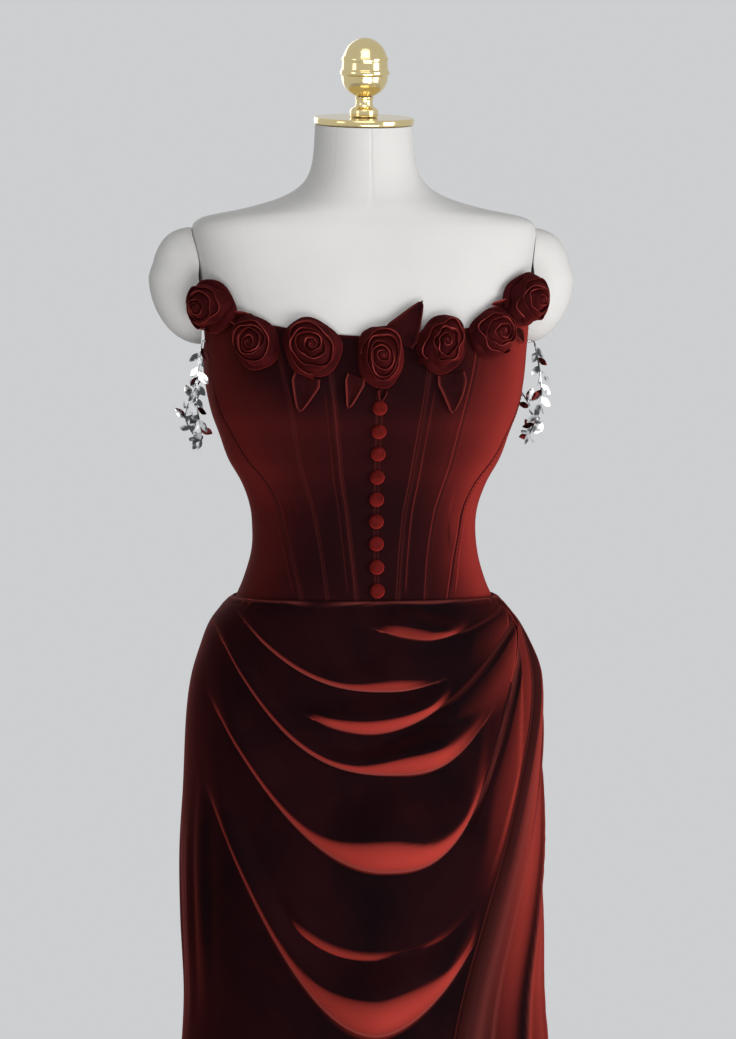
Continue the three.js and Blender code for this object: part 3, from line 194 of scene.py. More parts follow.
ROSE_COLUMNS = ("panel", "x", "z", "wide", "tall", "rise", "spin", "turns", "ruffle")
ROSES = [dict(zip(ROSE_COLUMNS, row)) for row in (
    ("side_front_left", -155, 1299, 30, 27, 24, 200, 4.2, 0.7),
    ("side_front_left", -118, 1263, 24, 27, 19, 20, 4.4, 0.4),
    ("middle_left", -67, 1258, 28, 29, 20, 130, 4.4, 0.5),
    ("front_right", 1, 1249, 31, 30, 21, 250, 4.8, 0.35),
    ("middle_right", 62, 1261, 24, 29, 20, 80, 3.4, 1.4),
    ("side_front_right", 114, 1272, 27, 25, 20, 310, 4.0, 1),
    ("side_front_right", 149, 1305, 30, 27, 25, 170, 4.2, 0.8),
)]
# A leaf's rim says how much painted sheen lies along its rims and tip.
LEAVES = (
    dict(panel="side_front_left", start=(-122, 1281), tip=(-152, 1293), width=22, rim=0.6),
    dict(panel="middle_left", start=(-71, 1231), tip=(-82, 1197), width=31, rim=0.5),
    dict(panel="front_left", start=(-24, 1231), tip=(-34, 1200), width=22, rim=0.6),
    dict(panel="front_right", start=(19, 1264), tip=(41, 1303), width=41, rim=0.15),
    dict(panel="middle_right", start=(70, 1233), tip=(76, 1195), width=34, rim=0.5),
    dict(panel="side_front_right", start=(136, 1298), tip=(111, 1300), width=20, rim=0.8),
    dict(panel="side_front_right", start=(140, 1274), tip=(153, 1262), width=12, rim=0.4),
    dict(panel="front_right", start=(3, 1218), tip=(1, 1207), width=9, rim=0.2),
)
CHAIN_FRONT = (77, 1264)
CHAIN_BACK = (118, 1238)
CHAIN_STANDOFF = 7
CHAIN_LOOP = ((172, -44, 1205), (165, -20, 1173), (168, 6, 1168), (176, 30, 1192))
CHAIN_WIRE = 0.8
CHAIN_LEAVES = 34
CHAIN_LEAF = dict(length=16, width=8.4, thickness=1, splay=42, stations=9, cup=0.9, rim=0.4,
                  round=0.8, root=0.03, tip=0.985)
CHAIN_POINTS = 90                # points along a wire, and those of its first and last leaf
CHAIN_ENDS = (5, 84)
CHAIN_WIRE_SIDES = 8
CHAIN_FACING = (0.4, -1, 0.1)    # where a leaf's face looks, +X being outwards, before it sways
CHAIN_SWAY = dict(aside=0.7, aside_turn=1.3, up=0.6, up_turn=2.1)
CHAIN_UNEVENNESS = 0.25          # how much smaller than the rest a leaf can be

CAP = dict(y=10, z=1319, half_depth=36, half_height=58, bulge=45, gap=0.9, clearance=4.6)
CAP_SEAT_HEIGHT = 1345
CAP_STEP = 20


# ---- small sums ----

def sample(source, start, end, at):
    """A smooth curve through one column of a table, by another column."""
    places, values = source[start], source[end]
    last = len(places) - 1
    at = np.clip(np.asarray(at, float), places[0], places[-1])
    i = np.clip(np.searchsorted(places, at) - 1, 0, last - 1)

    def slope(a, b):
        return (values[b] - values[a]) / (places[b] - places[a])

    start_slope = slope(np.maximum(i - 1, 0), i + 1)
    end_slope = slope(i, np.minimum(i + 2, last))
    span = places[i + 1] - places[i]
    t = (at - places[i]) / span
    rise = t * t * (3 - 2 * t)
    bow = span * t * (1 - t) * (start_slope * (1 - t) - end_slope * t)
    return values[i] + (values[i + 1] - values[i]) * rise + bow


def smooth(value, low, high):
    t = np.clip((np.asarray(value, float) - low) / (high - low), 0, 1)
    return t * t * (3 - 2 * t)


def mix(a, b, share):
    return a + (b - a) * share


def bump(value, centre, spread):
    """1 at the centre, dying away on both sides of it."""
    return np.exp(-(((value - centre) / spread) ** 2))


def ring_of(count):
    """Angles evenly round a circle."""
    return np.linspace(0, FULL_TURN, count, endpoint=False)


def unit(vectors):
    return vectors / np.maximum(np.linalg.norm(vectors, axis=-1, keepdims=True), 1e-9)


def section_at(source, z, grow=0):
    columns = ("side", "front", "back", "power")
    side, front, back, power = (sample(source, "z", name, z) for name in columns)
    return side + grow, front + grow, back + grow, power


def mixed(a, b, share):
    return tuple(mix(first, second, share) for first, second in zip(a, b))


def ring_point(section, angle, z):
    """A point of a rounded section: a superellipse with its own depth in front and behind."""
    side, front, back, power = section
    across, along = np.sin(angle), np.cos(angle)
    depth = np.where(along > 0, front, back)
    x = side * np.sign(across) * np.abs(across) ** (2 / power)
    y = -depth * np.sign(along) * np.abs(along) ** (2 / power)
    return np.stack(np.broadcast_arrays(x, y, z), axis=-1)


def torso_point(angle, z, ease=0):
    point = ring_point(section_at(TORSO, z, ease), angle, z)
    turn = (np.degrees(np.abs(angle)) - BUST["angle"]) / BUST["width"]
    height = (z - BUST["height"]) / BUST["rise"]
    point[..., 1] -= BUST["depth"] * np.exp(-turn * turn - height * height)
    return point


def rate_at(angle, z, step):
    """How far the bodice's surface runs for each radian."""
    run = bodice_point(angle + step, z) - bodice_point(angle - step, z)
    return np.linalg.norm(run, axis=-1) / (2 * step)


def bodice_point(angle, z):
    return torso_point(angle, z, EASE)


def normal_of(surface, angle, z):
    along = surface(angle + TURN_STEP, z) - surface(angle - TURN_STEP, z)
    up = surface(angle, z + RISE_STEP) - surface(angle, z - RISE_STEP)
    return unit(np.cross(along, up))


# ---- the skirt's folds ----

def drape_line(drapes, i, x):
    """Height of a drape's line at x, and how steep it is there."""
    d = {name: column[i] for name, column in drapes.items()}
    x = np.clip(x, d["leftX"], d["rightX"])
    is_left = x < d["lowX"]
    reach = np.where(is_left, d["leftX"] - d["lowX"], d["rightX"] - d["lowX"])
    climb = np.where(is_left, d["leftZ"], d["rightZ"]) - d["lowZ"]
    bend = np.where(is_left, d["bendLeft"], d["bendRight"])
    share = np.clip((x - d["lowX"]) / reach, 1e-6, 1)
    return d["lowZ"] + climb * share ** bend, climb * bend * share ** (bend - 1) / reach


def drape_relief(drapes, x, z):
    """How far the drapes stand out and hang down at x and z, and the painted sheen along their folded lips.
    """
    relief = np.zeros(np.broadcast(x, z).shape)
    proud, hang, edge = np.zeros_like(relief), np.zeros_like(relief), np.zeros_like(relief)
    for i in range(len(drapes["lowX"])):
        d = {name: column[i] for name, column in drapes.items()}
        line, steepness = drape_line(drapes, i, x)
        distance = (z - line) / np.hypot(1, steepness)
        near = bump(x, d["bellyX"], d["spread"])
        band = mix(d["armBand"], d["band"], near)
        depth = mix(d["armDepth"], d["depth"], near)
        roll = mix(DRAPE_ARM_ROLL, 1, near) * d["roll"]
        fade = smooth(x - d["leftX"], 0, DRAPE_FADE) * smooth(d["rightX"] - x, 0, d["fadeRight"])
        rise = np.clip(distance / band, 0, 1)
        under = mix(DRAPE_LIP_SHARE, 1, 1 - (1 - rise) ** DRAPE_UNDER_BEND)
        above = 1 - smooth(distance, band, band + roll)
        below = DRAPE_LIP_SHARE * np.clip(1 + distance / DRAPE_LIP, 0, 1)
        profile = np.where(distance < 0, below, np.where(distance < band, under, above))
        turned = smooth(x - d["turnX"], 0, TURN_OVER)
        rise = np.sin(np.clip(-distance / TURNED_LIP, 0, 1) * math.pi / 2)
        fall = 1 - smooth(-distance, TURNED_LIP, TURNED_LIP + TURNED_ROLL)
        profile = mix(profile, rise * fall, turned)
        relief += (depth * fade * profile) ** DRAPE_BLEND
        folded = np.where(distance < 0, 0, (1 - turned) * fade * d["crease"])
        proud += CREASE_RISE * folded * np.exp(-np.maximum(distance, 0) / CREASE_REACH[0])
        hang += CREASE_HANG * folded * np.exp(-np.maximum(distance, 0) / CREASE_REACH[1])
        # Painted highlight: a thin lighter line along the folded lip, fainter on a turned arm.
        edge_sheen = mix(1, TURNED_LIP_SHEEN, turned) * d["crease"] * fade
        edge = np.maximum(edge, edge_sheen * bump(distance, mix(*LIP_SHEEN_AT, turned), LIP_SHEEN_WIDTH))
    return relief ** (1 / DRAPE_BLEND) + proud, hang, edge


def cascade_angle(fold, z):
    share = np.clip((z - HEM) / (SKIRT_TOP - HEM), 0, None)
    return np.radians(mix(fold["hem"], fold["hip"], share ** fold["bend"]))


def cascade_edge(z):
    return cascade_angle(CASCADE[0], z)


def cascade_relief(angle, z, radius):
    """How far the cascade's folds stand out, and the painted sheen along their crests and on the first
    fold.
    """
    relief = np.zeros(np.broadcast(angle, z).shape)
    crest = np.zeros_like(relief)
    for fold in CASCADE:
        distance = (angle - cascade_angle(fold, z)) * radius
        if "crest" in fold:
            profile = bump(distance, fold["crest"], fold["width"])
            # Painted highlight along the crest.
            ridge_sheen = CREST_SHEEN["most"] * bump(distance, fold["crest"], CREST_SHEEN["width"])
        else:
            front = np.sin(np.clip(distance / fold["rise"], 0, 1) * math.pi / 2)
            past = 1 - smooth(distance - fold["rise"], 0, fold["roll"])
            profile = np.where(distance < fold["rise"], front, past)
            # Painted highlight across the first fold, most at its ridge.
            edge_sheen = CASCADE_FOLD_SHEEN
            ridge_sheen = edge_sheen["flat"] + edge_sheen["ridge"] * bump(distance, edge_sheen["at"], edge_sheen["width"])
            ridge_sheen = ridge_sheen * smooth(distance, 0, edge_sheen["start"])
            ridge_sheen = ridge_sheen * (1 - smooth(distance - edge_sheen["reach"], 0, edge_sheen["fade"]))
        crest = np.maximum(crest, ridge_sheen)
        relief = np.maximum(relief, fold["depth"] * profile)
    fade = 1 - smooth(z, *CASCADE_FADE)
    return relief * fade, crest * fade


def angle_between(a, b):
    return np.abs((a - b + 180) % 360 - 180)


def flute_relief(turn, z):
    opened = smooth(FLUTE_START - z, 0, FLUTE_START - HEM)
    relief = np.zeros(np.broadcast(turn, z).shape)
    for ridge, depth in zip(FLUTES["angle"], FLUTES["depth"]):
        share = np.clip(angle_between(turn, ridge) / FLUTE_WIDTH, 0, 1)
        relief += depth * opened * np.cos(share * math.pi / 2) ** 2
    return relief


def crease_relief(turn, z):
    relief = np.zeros(np.broadcast(turn, z).shape)
    for crease in SIDE_CREASES:
        along = np.clip((z - crease["low"]) / (crease["high"] - crease["low"]), 0, 1)
        share = np.clip(angle_between(turn, crease["angle"]) / crease["width"], 0, 1)
        relief += crease["depth"] * np.sin(math.pi * along) * np.cos(share * math.pi / 2) ** 2
    return relief


def hip_ease(turn, z):
    ease = HIP_EASE
    near = bump(turn, ease["angle"], ease["width"]) * bump(z, ease["z"], ease["rise"])
    return ease["depth"] * near


def skirt_surface(angle, z):
    """Points of the skirt's outer face, and the painted sheen along its folded lips and the cascade's
    crests.
    """
    seated = section_at(TORSO, z, EASE + WAIST_SEAT + CLOTH)
    away = smooth(SKIRT_TOP - z, 0, SKIRT_SEAT_DROP)
    section = mixed(seated, section_at(SKIRT, z), away)
    point = ring_point(section, angle, z)
    ahead = ring_point(section, angle + TURN_STEP, z)
    behind = ring_point(section, angle - TURN_STEP, z)
    outward = np.zeros_like(point)
    outward[..., 0] = ahead[..., 1] - behind[..., 1]
    outward[..., 1] = behind[..., 0] - ahead[..., 0]
    outward = unit(outward)
    turn = np.degrees(angle)
    edge = cascade_edge(z)
    is_front = np.cos(angle) > 0
    front_relief, hang, folded = drape_relief(FRONT_DRAPES, point[..., 0], z)
    back_relief = drape_relief(BACK_DRAPES, point[..., 0], z)[0]
    draped = np.where(is_front, 1 - smooth(angle, edge - DRAPE_TUCK, edge), 1)
    relief = draped * np.where(is_front, front_relief, back_relief)
    cascade, crest = cascade_relief(angle, z, np.hypot(point[..., 0], point[..., 1]))
    relief += cascade
    relief += flute_relief(turn, z) + crease_relief(turn, z) - hip_ease(turn, z)
    point += outward * (relief * away)[..., None]
    draped = np.where(is_front, draped, 0)
    point[..., 2] -= draped * away * hang
    return point, np.maximum(draped * away * folded, crest)


def skirt_point(angle, z):
    return skirt_surface(angle, z)[0]


# ---- meshes ----

def new_mesh(name, points, faces, material, sharp=None):
    """A mesh object in metres from points in millimetres, smooth but for edges over the sharp angle."""
    mesh = bpy.data.meshes.new(name)
    mesh.from_pydata((np.asarray(points, float).reshape(-1, 3) * MM).tolist(), [], faces)
    mesh.materials.append(material)
    mesh.polygons.foreach_set("use_smooth", [True] * len(mesh.polygons))
    if sharp:
        mesh.set_sharp_from_angle(angle=math.radians(sharp))
    mesh.update()
    piece = bpy.data.objects.new(name, mesh)
    bpy.context.scene.collection.objects.link(piece)
    return piece


def place(piece, slot, *nodes):
    """Hangs a piece on the one body and hides the nodes it stands for, if it has any. slot is not used."""
    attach(piece, "root")
    if nodes:
        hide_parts(*nodes)


def quads(rows, columns, shift=0, flip=False, closed=False):
    """Faces of a grid of points, rows outermost. closed joins the last column to the first."""
    i, j = np.meshgrid(np.arange(rows - 1), np.arange(columns if closed else columns - 1), indexing="ij")
    after = (j + 1) % columns
    a, b = i * columns + j, i * columns + after
    c, d = (i + 1) * columns + after, (i + 1) * columns + j
    order = (a, d, c, b) if flip else (a, b, c, d)
    return (np.stack(order, -1).reshape(-1, 4) + shift).tolist()


def closed_rings(rows, columns, flip=False):
    """Faces of rings of points joined into a tube, with a flat face at each end."""
    last = (rows - 1) * columns
    first_end, last_end = list(range(columns)), list(range(last, last + columns))
    ends = [first_end, last_end[::-1]] if flip else [first_end[::-1], last_end]
    return quads(rows, columns, flip=flip, closed=True) + ends


def fan(first, count, tip, flip=False):
    """Triangles from a ring of points to one point."""
    ring = [(first + i, first + (i + 1) % count) for i in range(count)]
    return [[tip, after, here] if flip else [tip, here, after] for here, after in ring]


def grid_normals(points):
    across = np.gradient(points, axis=1)
    up = np.gradient(points, axis=0)
    return unit(np.cross(across, up))


def mark(piece, values):
    """Keeps the painted sheen of each point of a piece along folded edges, crests and seams, for its
    material.
    """
    attribute = piece.data.attributes.new("painted_edge_sheen", "FLOAT", "POINT")
    attribute.data.foreach_set("value", np.asarray(values, np.float32).ravel())


def shell(outer, thickness):
    """Points and faces of a closed wall: a grid of outer points, the same moved in, and its rims."""
    rows, columns = outer.shape[:2]
    inner = outer - grid_normals(outer) * thickness
    count = rows * columns
    faces = quads(rows, columns) + quads(rows, columns, count, flip=True)
    for row in range(rows - 1):
        left, right = row * columns, row * columns + columns - 1
        faces.append([left, left + columns, left + columns + count, left + count])
        faces.append([right, right + count, right + columns + count, right + columns])
    top = (rows - 1) * columns
    for column in range(columns - 1):
        a, b = column, top + column
        faces.append([a, a + count, a + 1 + count, a + 1])
        faces.append([b, b + 1, b + 1 + count, b + count])
    return np.concatenate([outer.reshape(-1, 3), inner.reshape(-1, 3)]), faces


def wall(name, outer, thickness, material, sharp, folded):
    """A wall of cloth, with the painted sheen along its folded edges kept on its points."""
    points, faces = shell(outer, thickness)
    piece = new_mesh(name, points, faces, material, sharp)
    mark(piece, np.concatenate([folded.ravel(), folded.ravel()]))
    return piece


# ---- materials ----

def node(tree, kind, sockets=None, **values):
    """A node with its settings, then plain values for its sockets by name or number."""
    made = tree.nodes.new(kind)
    for name, value in values.items():
        setattr(made, name, value)
    for label, value in (sockets or {}).items():
        made.inputs[label].default_value = value
    return made


def new_group(name, inputs, outputs):
    """A shader node group; inputs are (name, kind, default) rows and outputs (name, kind)."""
    tree = bpy.data.node_groups.new(name, "ShaderNodeTree")
    for label, kind, default in inputs:
        socket = tree.interface.new_socket(label, in_out="INPUT", socket_type=f"NodeSocket{kind}")
        socket.default_value = default
    for label, kind in outputs:
        tree.interface.new_socket(label, in_out="OUTPUT", socket_type=f"NodeSocket{kind}")
    return tree, tree.nodes.new("NodeGroupInput"), tree.nodes.new("NodeGroupOutput")


def ranged(tree, source, low, high, to_low=0.0, to_high=1.0, course="SMOOTHSTEP"):
    """A value taken from one range to another, eased at both ends or straight."""
    limits = {"From Min": low, "From Max": high, "To Min": to_low, "To Max": to_high}
    made = node(tree, "ShaderNodeMapRange", limits, interpolation_type=course)
    tree.links.new(source, made.inputs["Value"])
    return made.outputs["Result"]


# Painted light: the velvet's colour is made lighter on faces turned to one side and on faces turned down,
# as lamps there would light them.
SKIRT_PAINTED_LIGHT_FROM = (0.3, 0, -0.95)      # faces that look this way are painted lighter: painted light from below and the right
BODICE_PAINTED_LIGHT_FROM = (0.3, -0.45, -0.05)
UNDER = (-0.1, 0, -0.99)         # and the drapes' undersides are painted lighter too: painted light from below


def nap_and_painted_light_group():
    """Velvet nap: patches stroked lighter or darker and its fine grain; and painted light on faces that
    look towards one side and on faces that look down.
    """
    tree, given, made = new_group(
        "velvet nap and painted light",
        [("Patch Scale", "Float", 9.0), ("Grain Scale", "Float", 900.0),
         ("Depth", "Float", 0.2), ("Painted Light From", "Vector", SKIRT_PAINTED_LIGHT_FROM)],
        [("Stroke", "Float"), ("Lay", "Float"), ("Painted Underside Light", "Float"), ("Normal", "Vector")],
    )
    place_in = node(tree, "ShaderNodeTexCoord")
    patches = node(tree, "ShaderNodeTexNoise", {"Detail": 4, "Roughness": 0.55, "Distortion": 0.6})
    grain = node(tree, "ShaderNodeTexNoise", {"Detail": 2})
    lean = node(tree, "ShaderNodeVectorMath", operation="DOT_PRODUCT")
    below = node(tree, "ShaderNodeVectorMath", {1: UNDER}, operation="DOT_PRODUCT")
    relief = node(tree, "ShaderNodeBump", {"Distance": 0.0006})
    link = tree.links.new
    link(place_in.outputs["Object"], patches.inputs["Vector"])
    link(place_in.outputs["Object"], grain.inputs["Vector"])
    link(place_in.outputs["Normal"], lean.inputs[0])
    link(given.outputs["Painted Light From"], lean.inputs[1])
    link(place_in.outputs["Normal"], below.inputs[0])
    link(given.outputs["Patch Scale"], patches.inputs["Scale"])
    link(given.outputs["Grain Scale"], grain.inputs["Scale"])
    link(given.outputs["Depth"], relief.inputs["Strength"])
    link(grain.outputs["Fac"], relief.inputs["Height"])
    link(ranged(tree, patches.outputs["Fac"], 0.36, 0.66), made.inputs["Stroke"])
    # Painted light: how far a face looks towards the painted light, and how far it looks down.
    link(ranged(tree, lean.outputs["Value"], -0.4, 0.8, 0.08, 1), made.inputs["Lay"])
    link(ranged(tree, below.outputs["Value"], 0.1, 0.75), made.inputs["Painted Underside Light"])
    link(relief.outputs["Normal"], made.inputs["Normal"])
    return tree


def weave_group():
    """A plain weave: crossing threads as a height, its normal, and a soft mottle."""
    tree, given, made = new_group(
        "plain weave",
        [("Threads", "Float", 1400.0), ("Depth", "Float", 0.2)],
        [("Mottle", "Float"), ("Normal", "Vector")],
    )
    place_in = node(tree, "ShaderNodeTexCoord")
    mottle = node(tree, "ShaderNodeTexNoise", {"Scale": 14, "Detail": 5})
    both = node(tree, "ShaderNodeMath", operation="MAXIMUM")
    relief = node(tree, "ShaderNodeBump", {"Distance": 0.0003})
    link = tree.links.new
    for number, direction in enumerate("XZ"):
        threads = node(tree, "ShaderNodeTexWave", {"Distortion": 0.4}, bands_direction=direction)
        link(place_in.outputs["Object"], threads.inputs["Vector"])
        link(given.outputs["Threads"], threads.inputs["Scale"])
        link(threads.outputs["Fac"], both.inputs[number])
    link(place_in.outputs["Object"], mottle.inputs["Vector"])
    link(both.outputs["Value"], relief.inputs["Height"])
    link(given.outputs["Depth"], relief.inputs["Strength"])
    link(mottle.outputs["Fac"], made.inputs["Mottle"])
    link(relief.outputs["Normal"], made.inputs["Normal"])
    return tree


NAP_AND_PAINTED_LIGHT = nap_and_painted_light_group()
WEAVE = weave_group()


def new_material(name, **sockets):
    """A material with its Principled shader's plain values set by socket name."""
    material = bpy.data.materials.new(name)
    material.use_nodes = True
    shader = material.node_tree.nodes["Principled BSDF"]
    for label, value in sockets.items():
        shader.inputs[label.replace("_", " ")].default_value = value
    return material, material.node_tree, shader


def ramp(tree, source, dark, light):
    """A colour between two, by a value."""
    blend = node(tree, "ShaderNodeMix", {"A": (*dark, 1), "B": (*light, 1)}, data_type="RGBA")
    tree.links.new(source, blend.inputs["Factor"])
    return blend.outputs["Result"]


def velvet_material(name, dark, light, sheen, edge, tint, patch_scale,
                    facing=(0.1, 0.8), painted_light_from=SKIRT_PAINTED_LIGHT_FROM, under=0.8):
    """Velvet in its own dark tones, with sheen painted into its colour where it is seen from the side, on
    faces that look towards its painted light, on undersides and along folded edges.
    """
    material, tree, shader = new_material(
        name, Roughness=0.75, Sheen_Weight=0.18, Sheen_Roughness=0.3, Sheen_Tint=(*tint, 1),
        Specular_IOR_Level=0.02,
    )
    nap = node(tree, "ShaderNodeGroup", node_tree=NAP_AND_PAINTED_LIGHT)
    nap.inputs["Patch Scale"].default_value = patch_scale
    nap.inputs["Painted Light From"].default_value = painted_light_from
    # Painted sheen: Layer Weight's facing with the painted side light, plus the painted underside light,
    # mixes the sheen colour into the base colour.
    slant = node(tree, "ShaderNodeLayerWeight", {"Blend": 0.5})
    painted_underside_share = node(tree, "ShaderNodeMath", {1: under}, operation="MULTIPLY")
    painted_sheen_share = node(tree, "ShaderNodeMath", operation="MULTIPLY_ADD", use_clamp=True)
    painted_sheen_mix = node(tree, "ShaderNodeMix", {"B": (*sheen, 1)}, data_type="RGBA")
    # Painted highlight: the edge colour along folded edges, crests and seams.
    folded = node(tree, "ShaderNodeAttribute", attribute_name="painted_edge_sheen")
    edge_sheen = node(tree, "ShaderNodeMix", {"B": (*edge, 1)}, data_type="RGBA")
    link = tree.links.new
    link(nap.outputs["Painted Underside Light"], painted_underside_share.inputs[0])
    link(ranged(tree, slant.outputs["Facing"], *facing), painted_sheen_share.inputs[0])
    link(nap.outputs["Lay"], painted_sheen_share.inputs[1])
    link(painted_underside_share.outputs["Value"], painted_sheen_share.inputs[2])
    link(painted_sheen_share.outputs["Value"], painted_sheen_mix.inputs["Factor"])
    link(ramp(tree, nap.outputs["Stroke"], dark, light), painted_sheen_mix.inputs["A"])
    link(painted_sheen_mix.outputs["Result"], edge_sheen.inputs["A"])
    link(folded.outputs["Fac"], edge_sheen.inputs["Factor"])
    link(edge_sheen.outputs["Result"], shader.inputs["Base Color"])
    link(nap.outputs["Normal"], shader.inputs["Normal"])
    return material


def cover_material():
    """Matt cover cloth drawn smooth over the form."""
    material, tree, shader = new_material("form_cover", Roughness=0.85, Sheen_Weight=0.15)
    weave = node(tree, "ShaderNodeGroup", node_tree=WEAVE)
    colour = ramp(tree, weave.outputs["Mottle"], (0.7, 0.69, 0.668), (0.8, 0.787, 0.765))
    tree.links.new(colour, shader.inputs["Base Color"])
    tree.links.new(weave.outputs["Normal"], shader.inputs["Normal"])
    return material


def metal_material(name, dark, light, rough, polish_scale, spread=(0, 1)):
    """Polished metal with faint wipe marks in its gloss."""
    material, tree, shader = new_material(name, Metallic=1.0, Roughness=rough)
    place_in = node(tree, "ShaderNodeTexCoord")
    marks = node(tree, "ShaderNodeTexNoise", {"Scale": polish_scale, "Detail": 5})
    tree.links.new(place_in.outputs["Object"], marks.inputs["Vector"])
    gloss = ranged(tree, marks.outputs["Fac"], 0, 1, rough * 0.7, rough * 1.5, "LINEAR")
    tree.links.new(gloss, shader.inputs["Roughness"])
    colour = ramp(tree, ranged(tree, marks.outputs["Fac"], *spread), dark, light)
    tree.links.new(colour, shader.inputs["Base Color"])
    return material


# Each velvet: dark and light tones in random patches, its painted sheen colour, its painted edge highlight
# colour, the shader's sheen tint and the patches' size.
VELVET = velvet_material(
    "velvet", (0.005, 0.0018, 0.0026), (0.014, 0.0026, 0.0036), (0.46, 0.048, 0.036),
    (0.26, 0.05, 0.042), (0.9, 0.12, 0.1), 7)
BODICE_VELVET = velvet_material(
    "bodice_velvet", (0.014, 0.0028, 0.0036), (0.025, 0.0042, 0.0052), (0.38, 0.036, 0.029),
    (0.24, 0.04, 0.035), (0.9, 0.12, 0.1), 7, facing=(0.03, 0.75), painted_light_from=BODICE_PAINTED_LIGHT_FROM, under=0.12)
ROSE_VELVET = velvet_material(
    "flower_velvet", (0.03, 0.0034, 0.0042), (0.058, 0.006, 0.007), (0.15, 0.013, 0.012),
    (0.34, 0.05, 0.044), (0.7, 0.08, 0.07), 30, facing=(0.25, 1), under=0.1)
LEAF_VELVET = velvet_material(
    "leaf_velvet", (0.018, 0.003, 0.0036), (0.032, 0.0044, 0.005), (0.22, 0.02, 0.018),
    (0.3, 0.046, 0.04), (0.8, 0.1, 0.085), 30, facing=(0.12, 0.9), under=0.1)
# The buttons' velvet is the gown's, with its tones made several times lighter: painted light on the domes.
BUTTON_VELVET_PAINTED_LIGHTER = velvet_material(
    "button_velvet_painted_lighter", (0.07, 0.006, 0.005), (0.12, 0.009, 0.008), (0.34, 0.024, 0.02),
    (0.4, 0.05, 0.04), (0.8, 0.08, 0.07), 80, under=0.3)
THREAD = velvet_material(
    "thread", (0.02, 0.002, 0.002), (0.04, 0.004, 0.004), (0.2, 0.016, 0.014),
    (0.2, 0.02, 0.02), (0.5, 0.05, 0.04), 60, under=0)
COVER = cover_material()
BRASS = metal_material("brass", (0.78, 0.62, 0.3), (0.88, 0.74, 0.42), 0.13, 18)
# The silver's colour swings in patches between near black and bright silver: painted dark and bright
# reflections.
SILVER = metal_material("silver", (0.1, 0.1, 0.105), (0.95, 0.96, 0.97), 0.09, 110, (0.42, 0.58))


def sewn_panel(name, slot, outer, folded, thickness=CLOTH, sharp=50, material=VELVET):
    """A wall of cloth that stands for a node, cut flat to the shape it shows."""
    piece = wall(f"{name}_cloth", outer, thickness, material, sharp, folded)
    place(piece, slot, name)


# ---- the bodice ----

SEAM_DIP = 0.3                   # how deep the cloth tucks into a seam
SEAM_TUCK = 2.4                  # distance from a seam in which it does
SEAM_SHARPNESS = 0.45            # share of that distance in which most of the tuck lies
EDGE_LINE = 0.12                 # how far the pile stands up beside a seam
EDGE_LINE_WIDTH = 1.3
SEAM_SHEEN = 0.16                 # how much painted sheen lies along a seam and a casing
SEAM_SHEEN_AT = 1.2                    # distance from a seam at which it lies
SEAM_SHEEN_WIDTH = 0.6
NECK_EDGE = dict(depth=1.2, reach=1.6)   # how the cloth rounds in at the neckline
WAIST_DRAG = dict(height=0.35, z=1078, reach=40, pitch=9.0, slant=3, start=0.7)   # its drag lines

BODICE_RADIUS = 110              # about how far the bodice runs for each radian
BODICE_ROWS = 110
ROW_CROWDING = 0.97              # below 1, a bodice's rows crowd towards its neckline
# Columns beside a seam and across a casing, as distances from the panel's first edge.
SEAM_STOPS = (0, 0.5, 1.1, 1.8, 2.6, 3.6)
CASING_STOPS = (0, 0.4, 0.8, 1.2, 1.6, 4, 6.4, 6.8, 7.2, 7.6, 8.2, 9)
CASING_CLEAR = 10.5              # no other column stands nearer to that edge than this
PANEL_STOP = 3.2                 # distance between the columns further in


def panel_edge(seam, z, inward):
    """Angle of a panel's edge: its seam's own, moved a hair into the panel."""
    shift = SHARP_SEAM if seam in ("centre", "back") else SEAM_SHIFT
    return np.radians(sample(SEAMS, "z", seam, z)) + inward * shift


def seam_relief(distance):
    """The cloth's fall into a seam, with its pile standing a little proud beside it."""
    tuck = -SEAM_DIP * bump(distance, 0, SEAM_TUCK * SEAM_SHARPNESS)
    return tuck + EDGE_LINE * bump(distance, SEAM_TUCK, EDGE_LINE_WIDTH)


def stops_across(length):
    """Distances across a panel, close together near both edges."""
    edge = SEAM_STOPS[-1]
    count = max(int((length - 2 * edge) / PANEL_STOP), 1)
    middle = np.linspace(edge, length - edge, count + 1)[1:-1]
    return np.array([*SEAM_STOPS, *middle, *(length - stop for stop in reversed(SEAM_STOPS))])


def neckline_at(angle):
    return sample(NECKLINE, "angle", "z", np.degrees(angle))


